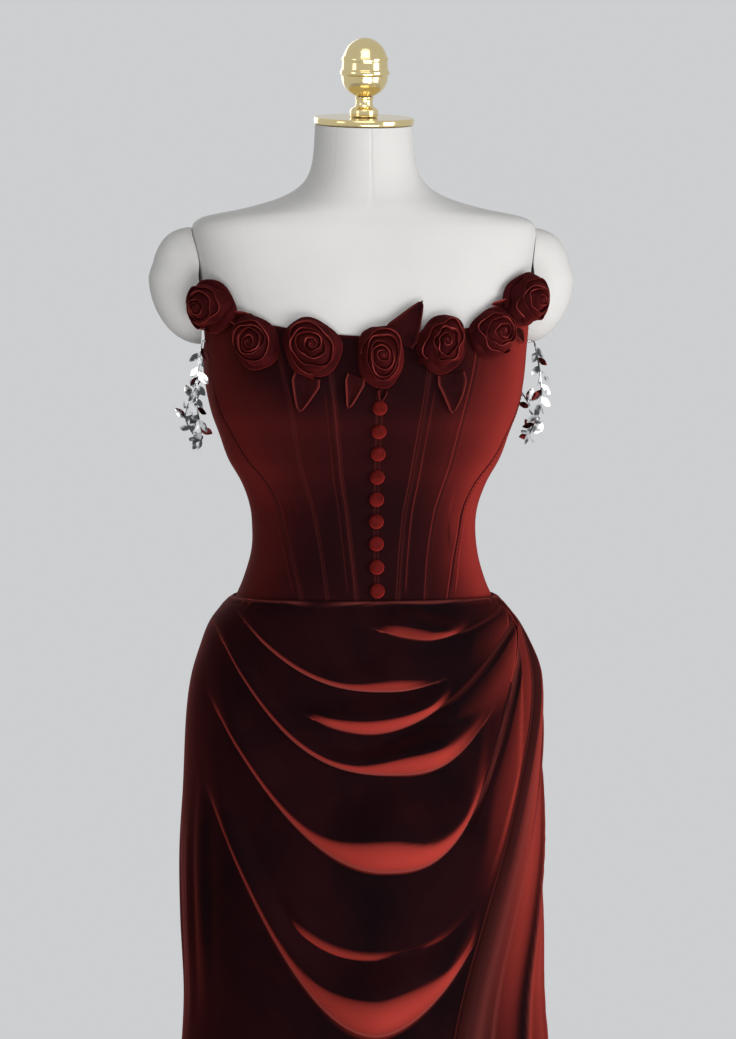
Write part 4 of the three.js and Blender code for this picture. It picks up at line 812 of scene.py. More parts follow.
def bodice_grid(panel, side):
    """Outer points of a bodice panel, its seams' grooves and its casing raised on it, and the painted sheen
    beside its seams.
    """
    z_reference = np.array([NECKLINE_REFERENCE])
    first = panel_edge(panel["start"], z_reference, 1)[0]
    last = panel_edge(panel["end"], z_reference, -1)[0]
    widest = BODICE_RADIUS * (last - first)
    shares = stops_across(widest) / widest
    casing_stops = np.array(CASING_STOPS, float)
    top = neckline_at(mix(first, last, shares))
    if panel["casing"]:
        rest = shares[shares > CASING_CLEAR / widest]
        over_casing = neckline_at(first + casing_stops / BODICE_RADIUS)
        top = np.concatenate([over_casing, neckline_at(mix(first, last, rest))])
    up = np.linspace(0, 1, BODICE_ROWS) ** ROW_CROWDING
    z = mix(BODICE_BOTTOM, top[None, :], up[:, None])
    start = panel_edge(panel["start"], z, 1)
    end = panel_edge(panel["end"], z, -1)
    rate = rate_at((start + end) / 2, z, TURN_STEP / 2)
    length = (end - start) * rate
    if panel["casing"]:
        beside = CASING_STOPS[-1]
        reach = (rest * widest - beside) / (widest - beside)
        on_casing = np.broadcast_to(casing_stops, (BODICE_ROWS, len(casing_stops)))
        past_casing = mix(beside, length[:, -len(rest):], reach[None, :])
        along = np.concatenate([on_casing, past_casing], axis=1)
    else:
        edge = SEAM_STOPS[-1]
        near = np.minimum(shares, 1 - shares) * widest
        along = np.where(shares < 0.5, near, length - near)
        share_in = (shares * widest - edge) / (widest - 2 * edge)
        along = np.where(near > edge, edge + share_in * (length - 2 * edge), along)
    angle = start + along / rate
    point = bodice_point(angle, z)
    normal = normal_of(bodice_point, angle, z)
    raised = seam_relief(along) + seam_relief(length - along)
    # Painted highlight beside each seam and along the casing, faded towards the sides.
    edge_sheen = bump(along, SEAM_SHEEN_AT, SEAM_SHEEN_WIDTH) + bump(length - along, SEAM_SHEEN_AT, SEAM_SHEEN_WIDTH)
    if panel["casing"]:
        on = smooth(along, 0, CASING_SHOULDER) * smooth(panel["casing"] - along, 0, CASING_SHOULDER)
        fade = smooth(z - SKIRT_TOP, 2, CASING_FADE) * smooth(CASING_TOP - z, 0, CASING_FADE)
        raised = raised + CASING_LOOK * CASING_RISE * on * fade
        edge_sheen = edge_sheen + bump(along, panel["casing"], SEAM_SHEEN_WIDTH) * fade
    raised = raised - NECK_EDGE["depth"] * bump(z, top[None, :], NECK_EDGE["reach"])
    drag = WAIST_DRAG
    pull = drag["height"] * np.sin(z / drag["pitch"] + drag["slant"] * along / drag["reach"])
    pull = pull * bump(z, drag["z"], drag["reach"]) * (np.abs(angle) > drag["start"])
    point = point + normal * (raised + pull)[..., None]
    edge_sheen = SEAM_SHEEN * edge_sheen * np.cos(angle) ** 2
    if side < 0:
        point = point[:, ::-1] * np.array([-1, 1, 1])
        edge_sheen = edge_sheen[:, ::-1]
    return point, edge_sheen


def build_bodice():
    for panel in PANELS:
        for label, side in (("left", -1), ("right", 1)):
            outer, edge_sheen = bodice_grid(panel, side)
            sewn_panel(f"bodice_{panel['name']}_{label}", "velvet", outer, edge_sheen,
                       material=BODICE_VELVET)


# ---- the skirt ----

LEFT_SEAM = math.radians(-96)
RIGHT_SEAM = math.radians(104)
# Rows beside each drape's line, as distances from it, and how many lie below each drape's foot.
ROW_OFFSETS = (-3, -1.5, -0.35, 0.05, 0.6, 1.3, 2.2, 3.6, 5.6, 8.4)
ROWS_BELOW = (62, 18, 22, 20, 16, 12, 10)
ROWS_TO_WAIST = 12
ROW_GAP = 0.25
TIGHT_ROW_GAP = 0.05
LINE_FALL = 0.5                  # how steeply the rows carry on down past a drape's ends
LINE_PASSES = 40                 # passes in which a column closes in on a drape's line
FRONT_COLUMNS = 171
BACK_ROWS = 230
BACK_LEFT_COLUMNS = 110
SKIRT_SHARP = 85                 # degrees at which the skirt's cloth would shade as an edge
FIRST_EDGE_SHEEN = dict(share=0.3, at=1.5, width=1.2)   # painted sheen along the cascade's front edge
WAIST_ROLL = dict(reach=6, height=1.3)            # how the skirt's top edge is turned over
# Painted sheen just under the skirt's top edge.
WAIST_SHEEN = dict(share=0.5, below=2.2, width=0.9)


def front_angle(share, z):
    """Angle of the front's columns, from the left seam to the cascade's edge."""
    return mix(LEFT_SEAM + SEAM_SHIFT, cascade_edge(z) - 2 * SEAM_SHIFT, share)


def between(first, last, count):
    """Rows or columns at even steps after the first one, up to the last."""
    return [mix(first, last, t) for t in np.linspace(0, 1, count + 1)[1:]]


def line_heights(drape, shares):
    """Height at which each column of the front crosses a drape's line, and how the line stretches."""
    z = np.full_like(shares, FRONT_DRAPES["lowZ"][drape])
    for _ in range(LINE_PASSES):
        x = ring_point(section_at(SKIRT, z), front_angle(shares, z), z)[..., 0]
        line, steepness = drape_line(FRONT_DRAPES, drape, x)
        z = (z + line) / 2
    before = np.maximum(FRONT_DRAPES["leftX"][drape] - x, 0)
    beyond = np.maximum(x - FRONT_DRAPES["rightX"][drape], 0)
    return z - LINE_FALL * (before + beyond), np.hypot(1, steepness)


def front_heights(shares):
    """Rows of heights for the front's columns: they follow the drapes' lines."""
    rows = [np.full_like(shares, HEM)]
    for drape, rows_below in enumerate(ROWS_BELOW):
        line, stretch = line_heights(drape, shares)
        foot = np.maximum(line + ROW_OFFSETS[0] * stretch, rows[-1] + ROW_GAP * rows_below)
        rows += between(rows[-1], foot, rows_below)
        for offset in ROW_OFFSETS[1:]:
            rows.append(np.maximum(line + offset * stretch, rows[-1] + ROW_GAP))
    rows += between(rows[-1], np.maximum(rows[-1], SKIRT_TOP), ROWS_TO_WAIST)
    left_over = np.arange(len(rows))[::-1, None] * TIGHT_ROW_GAP
    return np.minimum(np.array(rows), SKIRT_TOP - left_over)


# Columns beside each fold's line, as distances from it, and how many lie between two folds.
FOLD_OFFSETS = (-1.5, -0.4, 0, 0.8, 2, 3.5, 5.5, 8, 11, 14, 18, 23, 26)
FOLD_BETWEEN = 16
FOLD_RADIUS = 150                # least radius by which a distance from a fold becomes an angle
SEAM_COLUMN = 0.0008             # least angle between a seam and each column in from it
TIGHT_COLUMN = 1e-6              # and between two columns anywhere


def fold_columns(first):
    """How many columns a panel has that carries the cascade's folds from the first one on."""
    return 1 + (len(CASCADE) - first) * (FOLD_BETWEEN + len(FOLD_OFFSETS) - 1) + FOLD_BETWEEN


def fold_angles(first, heights, start, end):
    """Angles of a panel's columns: they follow the folds' lines, and crowd at a seam beyond it."""
    columns = [start]

    def beside(fold, offset, column):
        z = heights[:, column]
        radius = np.maximum(sample(SKIRT, "z", "side", z), FOLD_RADIUS)
        return cascade_angle(fold, z) + offset / radius

    for fold in CASCADE[first:]:
        reach = beside(fold, FOLD_OFFSETS[0], len(columns) + FOLD_BETWEEN - 1)
        columns += between(columns[-1], reach, FOLD_BETWEEN)
        for offset in FOLD_OFFSETS[1:]:
            columns.append(beside(fold, offset, len(columns)))
    columns += between(columns[-1], end, FOLD_BETWEEN)
    angles = np.stack(columns, axis=-1)
    order = np.arange(len(columns))
    angles = np.maximum(angles, start[:, None] + order * SEAM_COLUMN)
    angles = np.minimum(angles, end - order[::-1] * SEAM_COLUMN)
    return np.maximum.accumulate(angles, axis=1) + order * TIGHT_COLUMN


def waist_roll(points, heights):
    """Turns the skirt's top edge over: it stands a little proud and rounds back at the top."""
    near = np.clip((heights - (SKIRT_TOP - WAIST_ROLL["reach"])) / WAIST_ROLL["reach"], 0, 1)
    proud = WAIST_ROLL["height"] * np.sin(math.pi * near)
    return points + grid_normals(points) * proud[..., None]


def skirt_piece(name, angles, heights, first_edge_sheen=0.0):
    """A panel of the skirt, with painted sheen along its first edge as strong as its last argument says."""
    points, folded = skirt_surface(angles, heights)
    outer = waist_roll(points, heights)
    along = np.linalg.norm(points - points[:, :1], axis=2)
    # Painted highlight along the first edge and under the top edge, over that along the folds.
    at_edge = first_edge_sheen * bump(along, FIRST_EDGE_SHEEN["at"], FIRST_EDGE_SHEEN["width"])
    at_waist = WAIST_SHEEN["share"] * bump(heights - SKIRT_TOP, -WAIST_SHEEN["below"], WAIST_SHEEN["width"])
    folded = np.maximum(np.maximum(folded, at_edge), at_waist)
    sewn_panel(name, "velvet", outer, folded, sharp=SKIRT_SHARP)


def build_skirt():
    shares = np.linspace(0, 1, FRONT_COLUMNS)
    heights = front_heights(shares)
    skirt_piece("skirt_front_drape", front_angle(shares[None, :], heights), heights)

    # The cascade's rows begin as the front's end and are even at its far seam.
    edge = heights[:, -1]
    even = np.linspace(HEM, SKIRT_TOP, len(edge))
    across = smooth(np.linspace(0, 1, fold_columns(0)), 0, 1)
    heights = mix(edge[:, None], even[:, None], across[None, :])
    start = cascade_edge(heights[:, 0]) + 2 * SEAM_SHIFT
    angles = fold_angles(0, heights, start, RIGHT_SEAM - 3 * SEAM_SHIFT)
    skirt_piece("skirt_cascade", angles, heights, first_edge_sheen=FIRST_EDGE_SHEEN["share"])

    rows = mix(HEM, SKIRT_TOP, np.linspace(0, 1, BACK_ROWS))[:, None]
    heights = np.broadcast_to(rows, (BACK_ROWS, fold_columns(1)))
    start = np.full(BACK_ROWS, RIGHT_SEAM + 3 * SEAM_SHIFT)
    skirt_piece("skirt_back_right", fold_angles(1, heights, start, math.pi - SHARP_SEAM), heights)

    across = np.linspace(0, 1, BACK_LEFT_COLUMNS)
    angles = mix(-math.pi + SHARP_SEAM, LEFT_SEAM - SEAM_SHIFT, across)[None, :]
    skirt_piece("skirt_back_left", *np.broadcast_arrays(angles, rows))


# ---- what is sewn on ----

def gown_patch(x, z):
    """The gown's surface round a centre: a point at a distance across and up, moved out."""
    side, _front, _back, power = section_at(TORSO, z, EASE)
    middle = np.sign(x) * np.arcsin(np.minimum(abs(x) / side, 1) ** (power / 2))
    rate = rate_at(middle, z, TURN_STEP)

    def at(across, up, out):
        angle, height = middle + across / rate, z + up
        normal = normal_of(bodice_point, angle, height)
        return bodice_point(angle, height) + normal * np.asarray(out)[..., None]

    return at


# Profile across one turn of a rose's strip: share of the pitch outwards, and height under its rim.
PETAL = table(
    "share drop",
    (0, 5), (0.03, 2.4), (0.06, 0.7), (0.1, 0), (0.15, 0.1), (0.22, 0.6), (0.34, 1.3),
    (0.5, 2.1), (0.68, 3), (0.84, 4), (1, 5),
)
PETAL_RIM = 0.105                # share of a turn at which its rim lies
PETAL_RIM_WIDTH = 0.05
PETAL_CLOTH = 0.6
ROSE_PER_TURN = 44
ROSE_ACROSS = 20
ROSE_CROWDING = 1.5              # above 1, the points across a turn crowd towards its rim
ROSE_SEED = 1.7                  # how far one rose's waves are moved on from the last one's
# How a rose strays from an even spiral: each wave's share of the radius, waves in a turn, and how far
# it moves on with each winding and with the rose's seed.
ROSE_OVAL = (0.07, 2, 1.3, 1)
ROSE_LOBES = (0.06, 3, -2, 2)
ROSE_CORNERS = (0.04, 2.5, 0.7, 3)
ROSE_RUFFLE = (0.07, 5, 4, 1)
ROSE_STRAY = dict(most=0.07, turn=1.6)   # how far a winding's centre strays, and how it turns
ROSE_DOME = dict(fall=0.8, least=0.02)   # how far the rose's top falls away towards its edge
ROSE_FLOOR = 1.2                 # least height of a petal above the cloth
ROSE_SETTLES = (0.1, 1.2)        # windings in which its waves grow to their full size
ROSE_DEEPENS = (0.1, 1.4)        # windings in which the gaps between its turns do
ROSE_SHEEN_WAVES = (1.4, 3.1)     # how the painted sheen on its rim comes and goes round a turn
ROSE_SHEEN_RANGE = (-0.7, 1.1)
ROSE_HEART_DROP = 0.06           # share of a turn's depth that the first windings have
ROSE_HEART = ((0.93, 0), (0.99, 2.5), (0.97, 5), (0.9, 7.5), (0.6, 8))   # share of its size, height
ROSE_HEART_WAVE = 0.03
ROSE_HEART_TIP = 2               # how far the heart's tip lies under the rose's top
ROSE_LEAST_SHEEN = 0.15


def sway(wave, winding, angle, seed):
    """One of a rose's waves at a place on its strip."""
    depth, waves, drift, shift = wave
    return depth * np.sin(waves * angle + winding * drift + seed * shift)


def rose_piece(number, rose):
    """A rose rolled from a folded strip: its rim winds outwards, each turn leaning over the next."""
    patch = gown_patch(rose["x"], rose["z"])
    count = int((rose["turns"] + 1) * ROSE_PER_TURN)
    phase = (np.arange(1, count + 1) / ROSE_PER_TURN - 1)[:, None]
    pitch = 1 / rose["turns"]
    share = (np.linspace(0, 1, ROSE_ACROSS) ** ROSE_CROWDING)[None, :]
    seed = number * ROSE_SEED
    turn = FULL_TURN * phase + math.radians(rose["spin"])

    def radius_at(winding, angle):
        wave = sway(ROSE_OVAL, winding, angle, seed) + sway(ROSE_LOBES, winding, angle, seed)
        ruffled = rose["ruffle"] * sway(ROSE_RUFFLE, winding, angle, seed)
        corner = np.abs(sway(ROSE_CORNERS, winding, angle, seed))
        return winding * pitch * (1 + (wave + ruffled) * smooth(winding, *ROSE_SETTLES) - corner)

    def spot(winding):
        """Across and up, as shares of the rose's size: each winding has its own centre."""
        radius = radius_at(winding, turn) * rose["turns"] / (rose["turns"] + 1)
        off = ROSE_STRAY["most"] * np.sin(math.pi * np.clip(winding * pitch, 0, 1))
        stray = ROSE_STRAY["turn"] * winding + seed
        return (radius * np.cos(turn) + off * np.cos(stray),
                radius * np.sin(turn) + off * np.sin(stray))

    inner, outer = np.maximum(phase, 0), phase + 1.0
    inner_x, inner_y = spot(inner)
    outer_x, outer_y = spot(outer)
    ring_x, ring_y = mix(inner_x, outer_x, share), mix(inner_y, outer_y, share)
    ring = np.hypot(ring_x, ring_y)
    tight = mix(ROSE_HEART_DROP, 1, smooth(mix(inner, outer, share), *ROSE_DEEPENS))
    low = sample(PETAL, "share", "drop", share) * tight
    dome = rose["rise"] * np.sqrt(np.clip(1 - ROSE_DOME["fall"] * ring * ring, ROSE_DOME["least"], 1))
    height = np.maximum(dome - low, ROSE_FLOOR)
    strip = patch(rose["wide"] * ring_x, rose["tall"] * ring_y, SEAT + height)
    # Painted highlight along each turn's rim, coming and going round it.
    slow, quick = ROSE_SHEEN_WAVES
    rim_sheen_wave = np.sin(slow * turn + seed * 3) + 0.5 * np.sin(quick * turn + seed)
    edge_sheen = mix(ROSE_LEAST_SHEEN, 1, smooth(rim_sheen_wave, *ROSE_SHEEN_RANGE))
    edge_sheen = edge_sheen * bump(share, PETAL_RIM, PETAL_RIM_WIDTH)

    petals, faces = shell(strip, PETAL_CLOTH)
    # A closed heart under the roll stands on the cloth and carries it.
    around = ring_of(ROSE_PER_TURN)
    wave = 1 + ROSE_HEART_WAVE * np.cos(5 * around + seed)
    heart = [patch(rose["wide"] * out * wave * np.cos(around), rose["tall"] * out * wave * np.sin(around),
                   np.full(ROSE_PER_TURN, SEAT + up)) for out, up in ROSE_HEART]
    tip_point = patch(np.zeros(1), np.zeros(1), np.array([SEAT + rose["rise"] - ROSE_HEART_TIP]))
    points = np.concatenate([petals, *heart, tip_point])
    base = len(petals)
    last_ring = base + (len(heart) - 1) * ROSE_PER_TURN
    faces += quads(len(heart), ROSE_PER_TURN, base, closed=True)
    faces += fan(last_ring, ROSE_PER_TURN, len(points) - 1)
    faces += [[base, base + i + 1, base + i] for i in range(1, ROSE_PER_TURN - 1)]
    piece = new_mesh(f"rose_{number}_petals", points, faces, ROSE_VELVET, 60)
    place(piece, "flower_velvet", f"rose_{number}")
    edge_sheen = edge_sheen.ravel()
    mark(piece, np.concatenate([edge_sheen, edge_sheen, np.zeros(len(points) - base)]))


# A leaf: its cloth, rows and columns; the root's share of its width and how fast it widens; how
# pointed it is; and how its rims, its valley, its tip and its waves stand off the gown.
LEAF_SHAPE = dict(cloth=1.2, rows=34, columns=23, root=0.8, widening=0.25, point=0.85, least=0.25)
LEAF_LIFT = dict(rim=3.6, cup=3.4, swell=0.6, sunk=1.05, valley=1.2, valley_width=0.3, tip=1.4,
                 wave=0.5, waves=6)
LEAF_SHEEN = dict(rim=0.1, tip=0.05)      # shares of its half width and length that carry painted sheen


def leaf_piece(number, leaf):
    """A pointed leaf of doubled velvet: a valley along its middle and rims that lift."""
    (start_x, start_z), (tip_x, tip_z) = leaf["start"], leaf["tip"]
    length = math.hypot(tip_x - start_x, tip_z - start_z)
    ahead = ((tip_x - start_x) / length, (tip_z - start_z) / length)
    patch = gown_patch(start_x, start_z)
    shape, lifts = LEAF_SHAPE, LEAF_LIFT
    t = np.linspace(0, 1, shape["rows"])[:, None]
    s = np.linspace(-1, 1, shape["columns"])[None, :]
    half = 0.5 * leaf["width"] * mix(shape["root"], 1, smooth(t, 0, shape["widening"]))
    half = np.maximum(half * (1 - t) ** shape["point"], shape["least"])
    across = ahead[0] * t * length - ahead[1] * half * s
    up = ahead[1] * t * length + ahead[0] * half * s
    swell = np.sin(math.pi * np.clip(t * lifts["sunk"], 0, 1)) ** lifts["swell"]
    rims = lifts["rim"] * np.abs(s) ** lifts["cup"] * swell
    fold = lifts["valley"] * bump(s, 0, lifts["valley_width"]) * (1 - t)
    wave = lifts["wave"] * np.sin(lifts["waves"] * t + number)
    lift = SEAT + CLOTH + lifts["tip"] * t * t + rims - fold + wave
    outer = patch(across, up, lift)[:, ::-1]
    # Painted highlight along the rims and the tip, as strong as the leaf's row gives.
    rim = np.maximum(bump(np.abs(s), 1, LEAF_SHEEN["rim"]) * np.ones_like(t), bump(t, 1, LEAF_SHEEN["tip"]))
    sewn_panel(f"leaf_{number}", "flower_velvet", outer, leaf["rim"] * rim[:, ::-1], shape["cloth"],
               material=LEAF_VELVET)


def lathe(profile, segments):
    """Points and faces of a profile of (radius, height) corners turned about +Z; its ends are closed."""
    turns = ring_of(segments)
    radius, height = (np.array(column, float)[:, None] for column in zip(*profile))
    ring = np.broadcast_arrays(radius * np.cos(turns), radius * np.sin(turns), height)
    return np.stack(ring, axis=-1).reshape(-1, 3), closed_rings(len(profile), segments)


def rounded(corners, steps=5, share=0.3):
    """A profile through corners with each one rounded by a short curve."""
    corners = np.array(corners, float)
    out = [corners[0]]
    for before, corner, after in zip(corners[:-2], corners[1:-1], corners[2:]):
        a, b = mix(corner, before, share), mix(corner, after, share)
        for t in np.linspace(0, 1, steps):
            out.append((1 - t) ** 2 * a + 2 * t * (1 - t) * corner + t * t * b)
    out.append(corners[-1])
    return np.array(out)


BUTTON_DOME = rounded([(6.0, 0), (7.2, 0.4), (7.2, 2.4), (6.2, 4.4), (3.6, 5.6), (0.2, 5.9)])
BUTTON_SEAT = SEAT + 0.2
BUTTON_SEGMENTS = 48


def build_buttons():
    points, faces = lathe(BUTTON_DOME, BUTTON_SEGMENTS)
    for number, z in enumerate(BUTTON_HEIGHTS, 1):
        angle, height = np.zeros(1), np.array([float(z)])
        normal = normal_of(bodice_point, angle, height)[0]
        turn = np.array(Vector((0, 0, 1)).rotation_difference(Vector(normal)).to_matrix())
        seat = bodice_point(angle, height)[0] + normal * BUTTON_SEAT
        piece = new_mesh(f"button_{number}_covered", points @ turn.T + seat, faces, BUTTON_VELVET_PAINTED_LIGHTER, 40)
        place(piece, "velvet", f"button_{number}")


# ---- small things repeated along lines ----

def repeat_tree():
    """Geometry nodes: one small piece stood on every point, turned and sized by the point's own values."""
    tree = bpy.data.node_groups.new("pieces along a line", "GeometryNodeTree")
    for label, kind in (("Points", "Geometry"), ("Piece", "Object"), ("Finish", "Material"),
                        ("Size", "Float"), ("Seed", "Int"), ("Unevenness", "Float")):
        tree.interface.new_socket(label, in_out="INPUT", socket_type=f"NodeSocket{kind}")
    tree.interface.new_socket("Pieces", in_out="OUTPUT", socket_type="NodeSocketGeometry")
    given = node(tree, "NodeGroupInput")
    made = node(tree, "NodeGroupOutput")
    source = node(tree, "GeometryNodeObjectInfo")
    turn = node(tree, "GeometryNodeInputNamedAttribute", {"Name": "turn"}, data_type="FLOAT_VECTOR")
    rotate = node(tree, "FunctionNodeEulerToRotation")
    vary = node(tree, "FunctionNodeRandomValue", {"Max": 1}, data_type="FLOAT")
    spread = node(tree, "ShaderNodeMath", {0: 1}, operation="SUBTRACT")
    scale = node(tree, "ShaderNodeMath", operation="MULTIPLY")
    stand = node(tree, "GeometryNodeInstanceOnPoints")
    real = node(tree, "GeometryNodeRealizeInstances")
    finish = node(tree, "GeometryNodeSetMaterial")
    link = tree.links.new
    link(given.outputs["Points"], stand.inputs["Points"])
    link(given.outputs["Piece"], source.inputs["Object"])
    link(source.outputs["Geometry"], stand.inputs["Instance"])
    link(turn.outputs["Attribute"], rotate.inputs["Euler"])
    link(rotate.outputs["Rotation"], stand.inputs["Rotation"])
    link(given.outputs["Unevenness"], spread.inputs[1])
    link(spread.outputs["Value"], vary.inputs["Min"])
    link(given.outputs["Seed"], vary.inputs["Seed"])
    link(vary.outputs["Value"], scale.inputs[0])
    link(given.outputs["Size"], scale.inputs[1])
    link(scale.outputs["Value"], stand.inputs["Scale"])
    link(stand.outputs["Instances"], real.inputs["Geometry"])
    link(real.outputs["Geometry"], finish.inputs["Geometry"])
    link(given.outputs["Finish"], finish.inputs["Material"])
    link(finish.outputs["Geometry"], made.inputs["Pieces"])
    return tree


REPEAT = repeat_tree()


def repeated(name, points, forward, outward, unit_piece, material, unevenness=0.0):
    """unit_piece stood on each point, its +X along forward and its +Z along outward, as one mesh."""
    holder = bpy.data.meshes.new(f"{name}_points")
    holder.from_pydata((np.asarray(points) * MM).tolist(), [], [])
    turns = holder.attributes.new("turn", "FLOAT_VECTOR", "POINT")
    for value, ahead, out in zip(turns.data, forward, outward):
        x = Vector(ahead).normalized()
        z = (Vector(out) - x * Vector(out).dot(x)).normalized()
        y = z.cross(x)
        value.vector = Matrix((x, y, z)).transposed().to_euler()
    host = bpy.data.objects.new(f"{name}_host", holder)
    bpy.context.scene.collection.objects.link(host)
    modifier = host.modifiers.new("repeat", "NODES")
    modifier.node_group = REPEAT
    values = {"Piece": unit_piece, "Finish": material, "Size": 1.0, "Seed": 7, "Unevenness": unevenness}
    for item in REPEAT.interface.items_tree:
        if item.in_out == "INPUT" and item.name in values:
            modifier[item.identifier] = values[item.name]
    bpy.context.view_layer.update()
    ready = host.evaluated_get(bpy.context.evaluated_depsgraph_get())
    mesh = bpy.data.meshes.new_from_object(ready)
    mesh.name = name
    piece = bpy.data.objects.new(name, mesh)
    bpy.context.scene.collection.objects.link(piece)
    bpy.data.objects.remove(host)
    mesh.polygons.foreach_set("use_smooth", [True] * len(mesh.polygons))
    return piece


def chain_leaf():
    """A small pointed mirror leaf, thickest along its middle, cupped a little towards its tip."""
    length, width, thick = CHAIN_LEAF["length"], CHAIN_LEAF["width"], CHAIN_LEAF["thickness"]
    stations = CHAIN_LEAF["stations"]
    points, faces = [], []
    for i in range(stations):
        t = i / (stations - 1)
        blunt = min(max(t, CHAIN_LEAF["root"]), CHAIN_LEAF["tip"])
        half = width / 2 * math.sin(math.pi * blunt) ** CHAIN_LEAF["round"]
        cup = CHAIN_LEAF["cup"] * t * t
        rim = cup + CHAIN_LEAF["rim"]
        points += [(t * length, -half, rim), (t * length, 0, cup + thick / 2),
                   (t * length, half, rim), (t * length, 0, cup - thick / 2)]
    for i in range(stations - 1):
        for j in range(4):
            a, b = i * 4 + j, i * 4 + (j + 1) % 4
            faces.append([b, a, a + 4, b + 4])
    last = 4 * stations - 1
    faces += [[0, 1, 2, 3], [last, last - 1, last - 2, last - 3]]
    return new_mesh("chain_leaf_pattern", points, faces, SILVER, 30)


ASKEW = np.array([0.3, 0.9, 0.2])        # a direction that no stretch of a wire runs in


def tube(name, path, radius, sides, material):
    """A round wire along points, closed at both ends."""
    tangent = unit(np.gradient(path, axis=0))
    first = unit(np.cross(tangent, ASKEW))[:, None]
    second = np.cross(tangent, first[:, 0])[:, None]
    turns = ring_of(sides)[None, :, None]
    rings = path[:, None] + radius * (first * np.cos(turns) + second * np.sin(turns))
    return new_mesh(name, rings, closed_rings(len(path), sides), material, 60)


def smooth_path(corners, count):
    """A smooth curve through corners."""
    corners = np.asarray(corners, float)
    reach = np.concatenate([[0], np.cumsum(np.linalg.norm(np.diff(corners, axis=0), axis=1))])
    source = {"reach": reach, "x": corners[:, 0], "y": corners[:, 1], "z": corners[:, 2]}
    at = np.linspace(0, reach[-1], count)
    return np.stack([sample(source, "reach", axis, at) for axis in "xyz"], axis=-1)


def build_chain(label, side, leaf):
    """A leaf chain from the front of the bodice round behind the arm to its side back."""
    def sewn(end, out):
        angle, z = np.array([math.radians(end[0])]), np.array([float(end[1])])
        return (bodice_point(angle, z) + normal_of(bodice_point, angle, z) * out)[0]

    corners = [sewn(CHAIN_FRONT, SEAT), sewn(CHAIN_FRONT, CHAIN_STANDOFF), *map(np.array, CHAIN_LOOP),
               sewn(CHAIN_BACK, CHAIN_STANDOFF), sewn(CHAIN_BACK, SEAT)]
    path = smooth_path(np.array(corners) * np.array([side, 1, 1]), CHAIN_POINTS)
    wire = tube(f"leaf_chain_{label}_wire", path, CHAIN_WIRE, CHAIN_WIRE_SIDES, SILVER)
    tangent = unit(np.gradient(path, axis=0))
    at = np.linspace(*CHAIN_ENDS, CHAIN_LEAVES).astype(int)
    order = np.arange(CHAIN_LEAVES)
    outward = np.tile(np.array(CHAIN_FACING) * np.array([side, 1, 1]), (CHAIN_LEAVES, 1))
    outward[:, 0] += CHAIN_SWAY["aside"] * np.cos(order * CHAIN_SWAY["aside_turn"])
    outward[:, 2] += CHAIN_SWAY["up"] * np.sin(order * CHAIN_SWAY["up_turn"])
    forward = []
    for i, place_at in enumerate(at):
        ahead = Vector(tangent[place_at])
        out = Vector(outward[i])
        out = (out - ahead * out.dot(ahead)).normalized()
        turn = math.radians(CHAIN_LEAF["splay"]) * (1 if i % 2 == 0 else -1)
        forward.append(Matrix.Rotation(turn, 3, out) @ ahead)
    leaves = repeated(f"leaf_chain_{label}_leaves", path[at], forward, outward, leaf, SILVER,
                      CHAIN_UNEVENNESS)
    for piece in (wire, leaves):
        place(piece, "silver", f"leaf_chain_{label}")


def build_chains():
    leaf = chain_leaf()
    build_chain("left", -1, leaf)
    build_chain("right", 1, leaf)
    bpy.data.objects.remove(leaf)


STITCH_PROFILE = ((-1.35, 0.1), (-0.7, 0.2), (0.7, 0.2), (1.35, 0.1))   # along a stitch, and its radius
STITCH_SIDES = 5
STITCH_RISE = 0.06               # how far a stitch stands over the cloth
CHANNEL_STITCHES = dict(offsets=(2.1, 6.0), low=SKIRT_TOP + 12, high=1212, pitch=3.6)
HEM_STITCHES = dict(count=430, z=HEM + 22.0, rise=0.05)


def stitch_pattern():
    """One stitch: a short thread, thin at both ends."""
    turns = ring_of(STITCH_SIDES).tolist()
    points = [(x, size * math.cos(turn), size * math.sin(turn))
              for x, size in STITCH_PROFILE for turn in turns]
    return new_mesh("stitch_pattern", points, closed_rings(len(STITCH_PROFILE), STITCH_SIDES), THREAD)


def channel_line(seam, side, offset):
    """Points, directions and outward directions of a row of stitches beside a seam."""
    row = CHANNEL_STITCHES
    z = np.arange(row["low"], row["high"], row["pitch"])
    angle = panel_edge(seam, z, 1) + offset / BODICE_RADIUS
    normal = normal_of(bodice_point, angle, z)
    point = bodice_point(angle, z) + normal * (CASING_LOOK * CASING_RISE + STITCH_RISE)
    flip = np.array([side, 1, 1])
    return point * flip, np.gradient(point * flip, axis=0), normal * flip


def build_stitches():
    """Topstitches along the boning channels and round the hem."""
    stitch = stitch_pattern()
    lines = [channel_line(seam, side, offset) for seam in ("channel", "underarm")
             for side in (-1, 1) for offset in CHANNEL_STITCHES["offsets"]]
    places, ahead, out = (np.concatenate(column) for column in zip(*lines))
    place(repeated("channel_stitches", places, ahead, out, stitch, THREAD), "velvet")

    angle = ring_of(HEM_STITCHES["count"]) - math.pi
    z = np.full_like(angle, HEM_STITCHES["z"])
    point = skirt_point(angle, z)
    normal = normal_of(skirt_point, angle, z)
    ahead = np.roll(point, -1, axis=0) - np.roll(point, 1, axis=0)
    places = point + normal * HEM_STITCHES["rise"]
    place(repeated("hem_stitches", places, ahead, normal, stitch, THREAD), "velvet")
    bpy.data.objects.remove(stitch)


# ---- the dress form and its stand ----

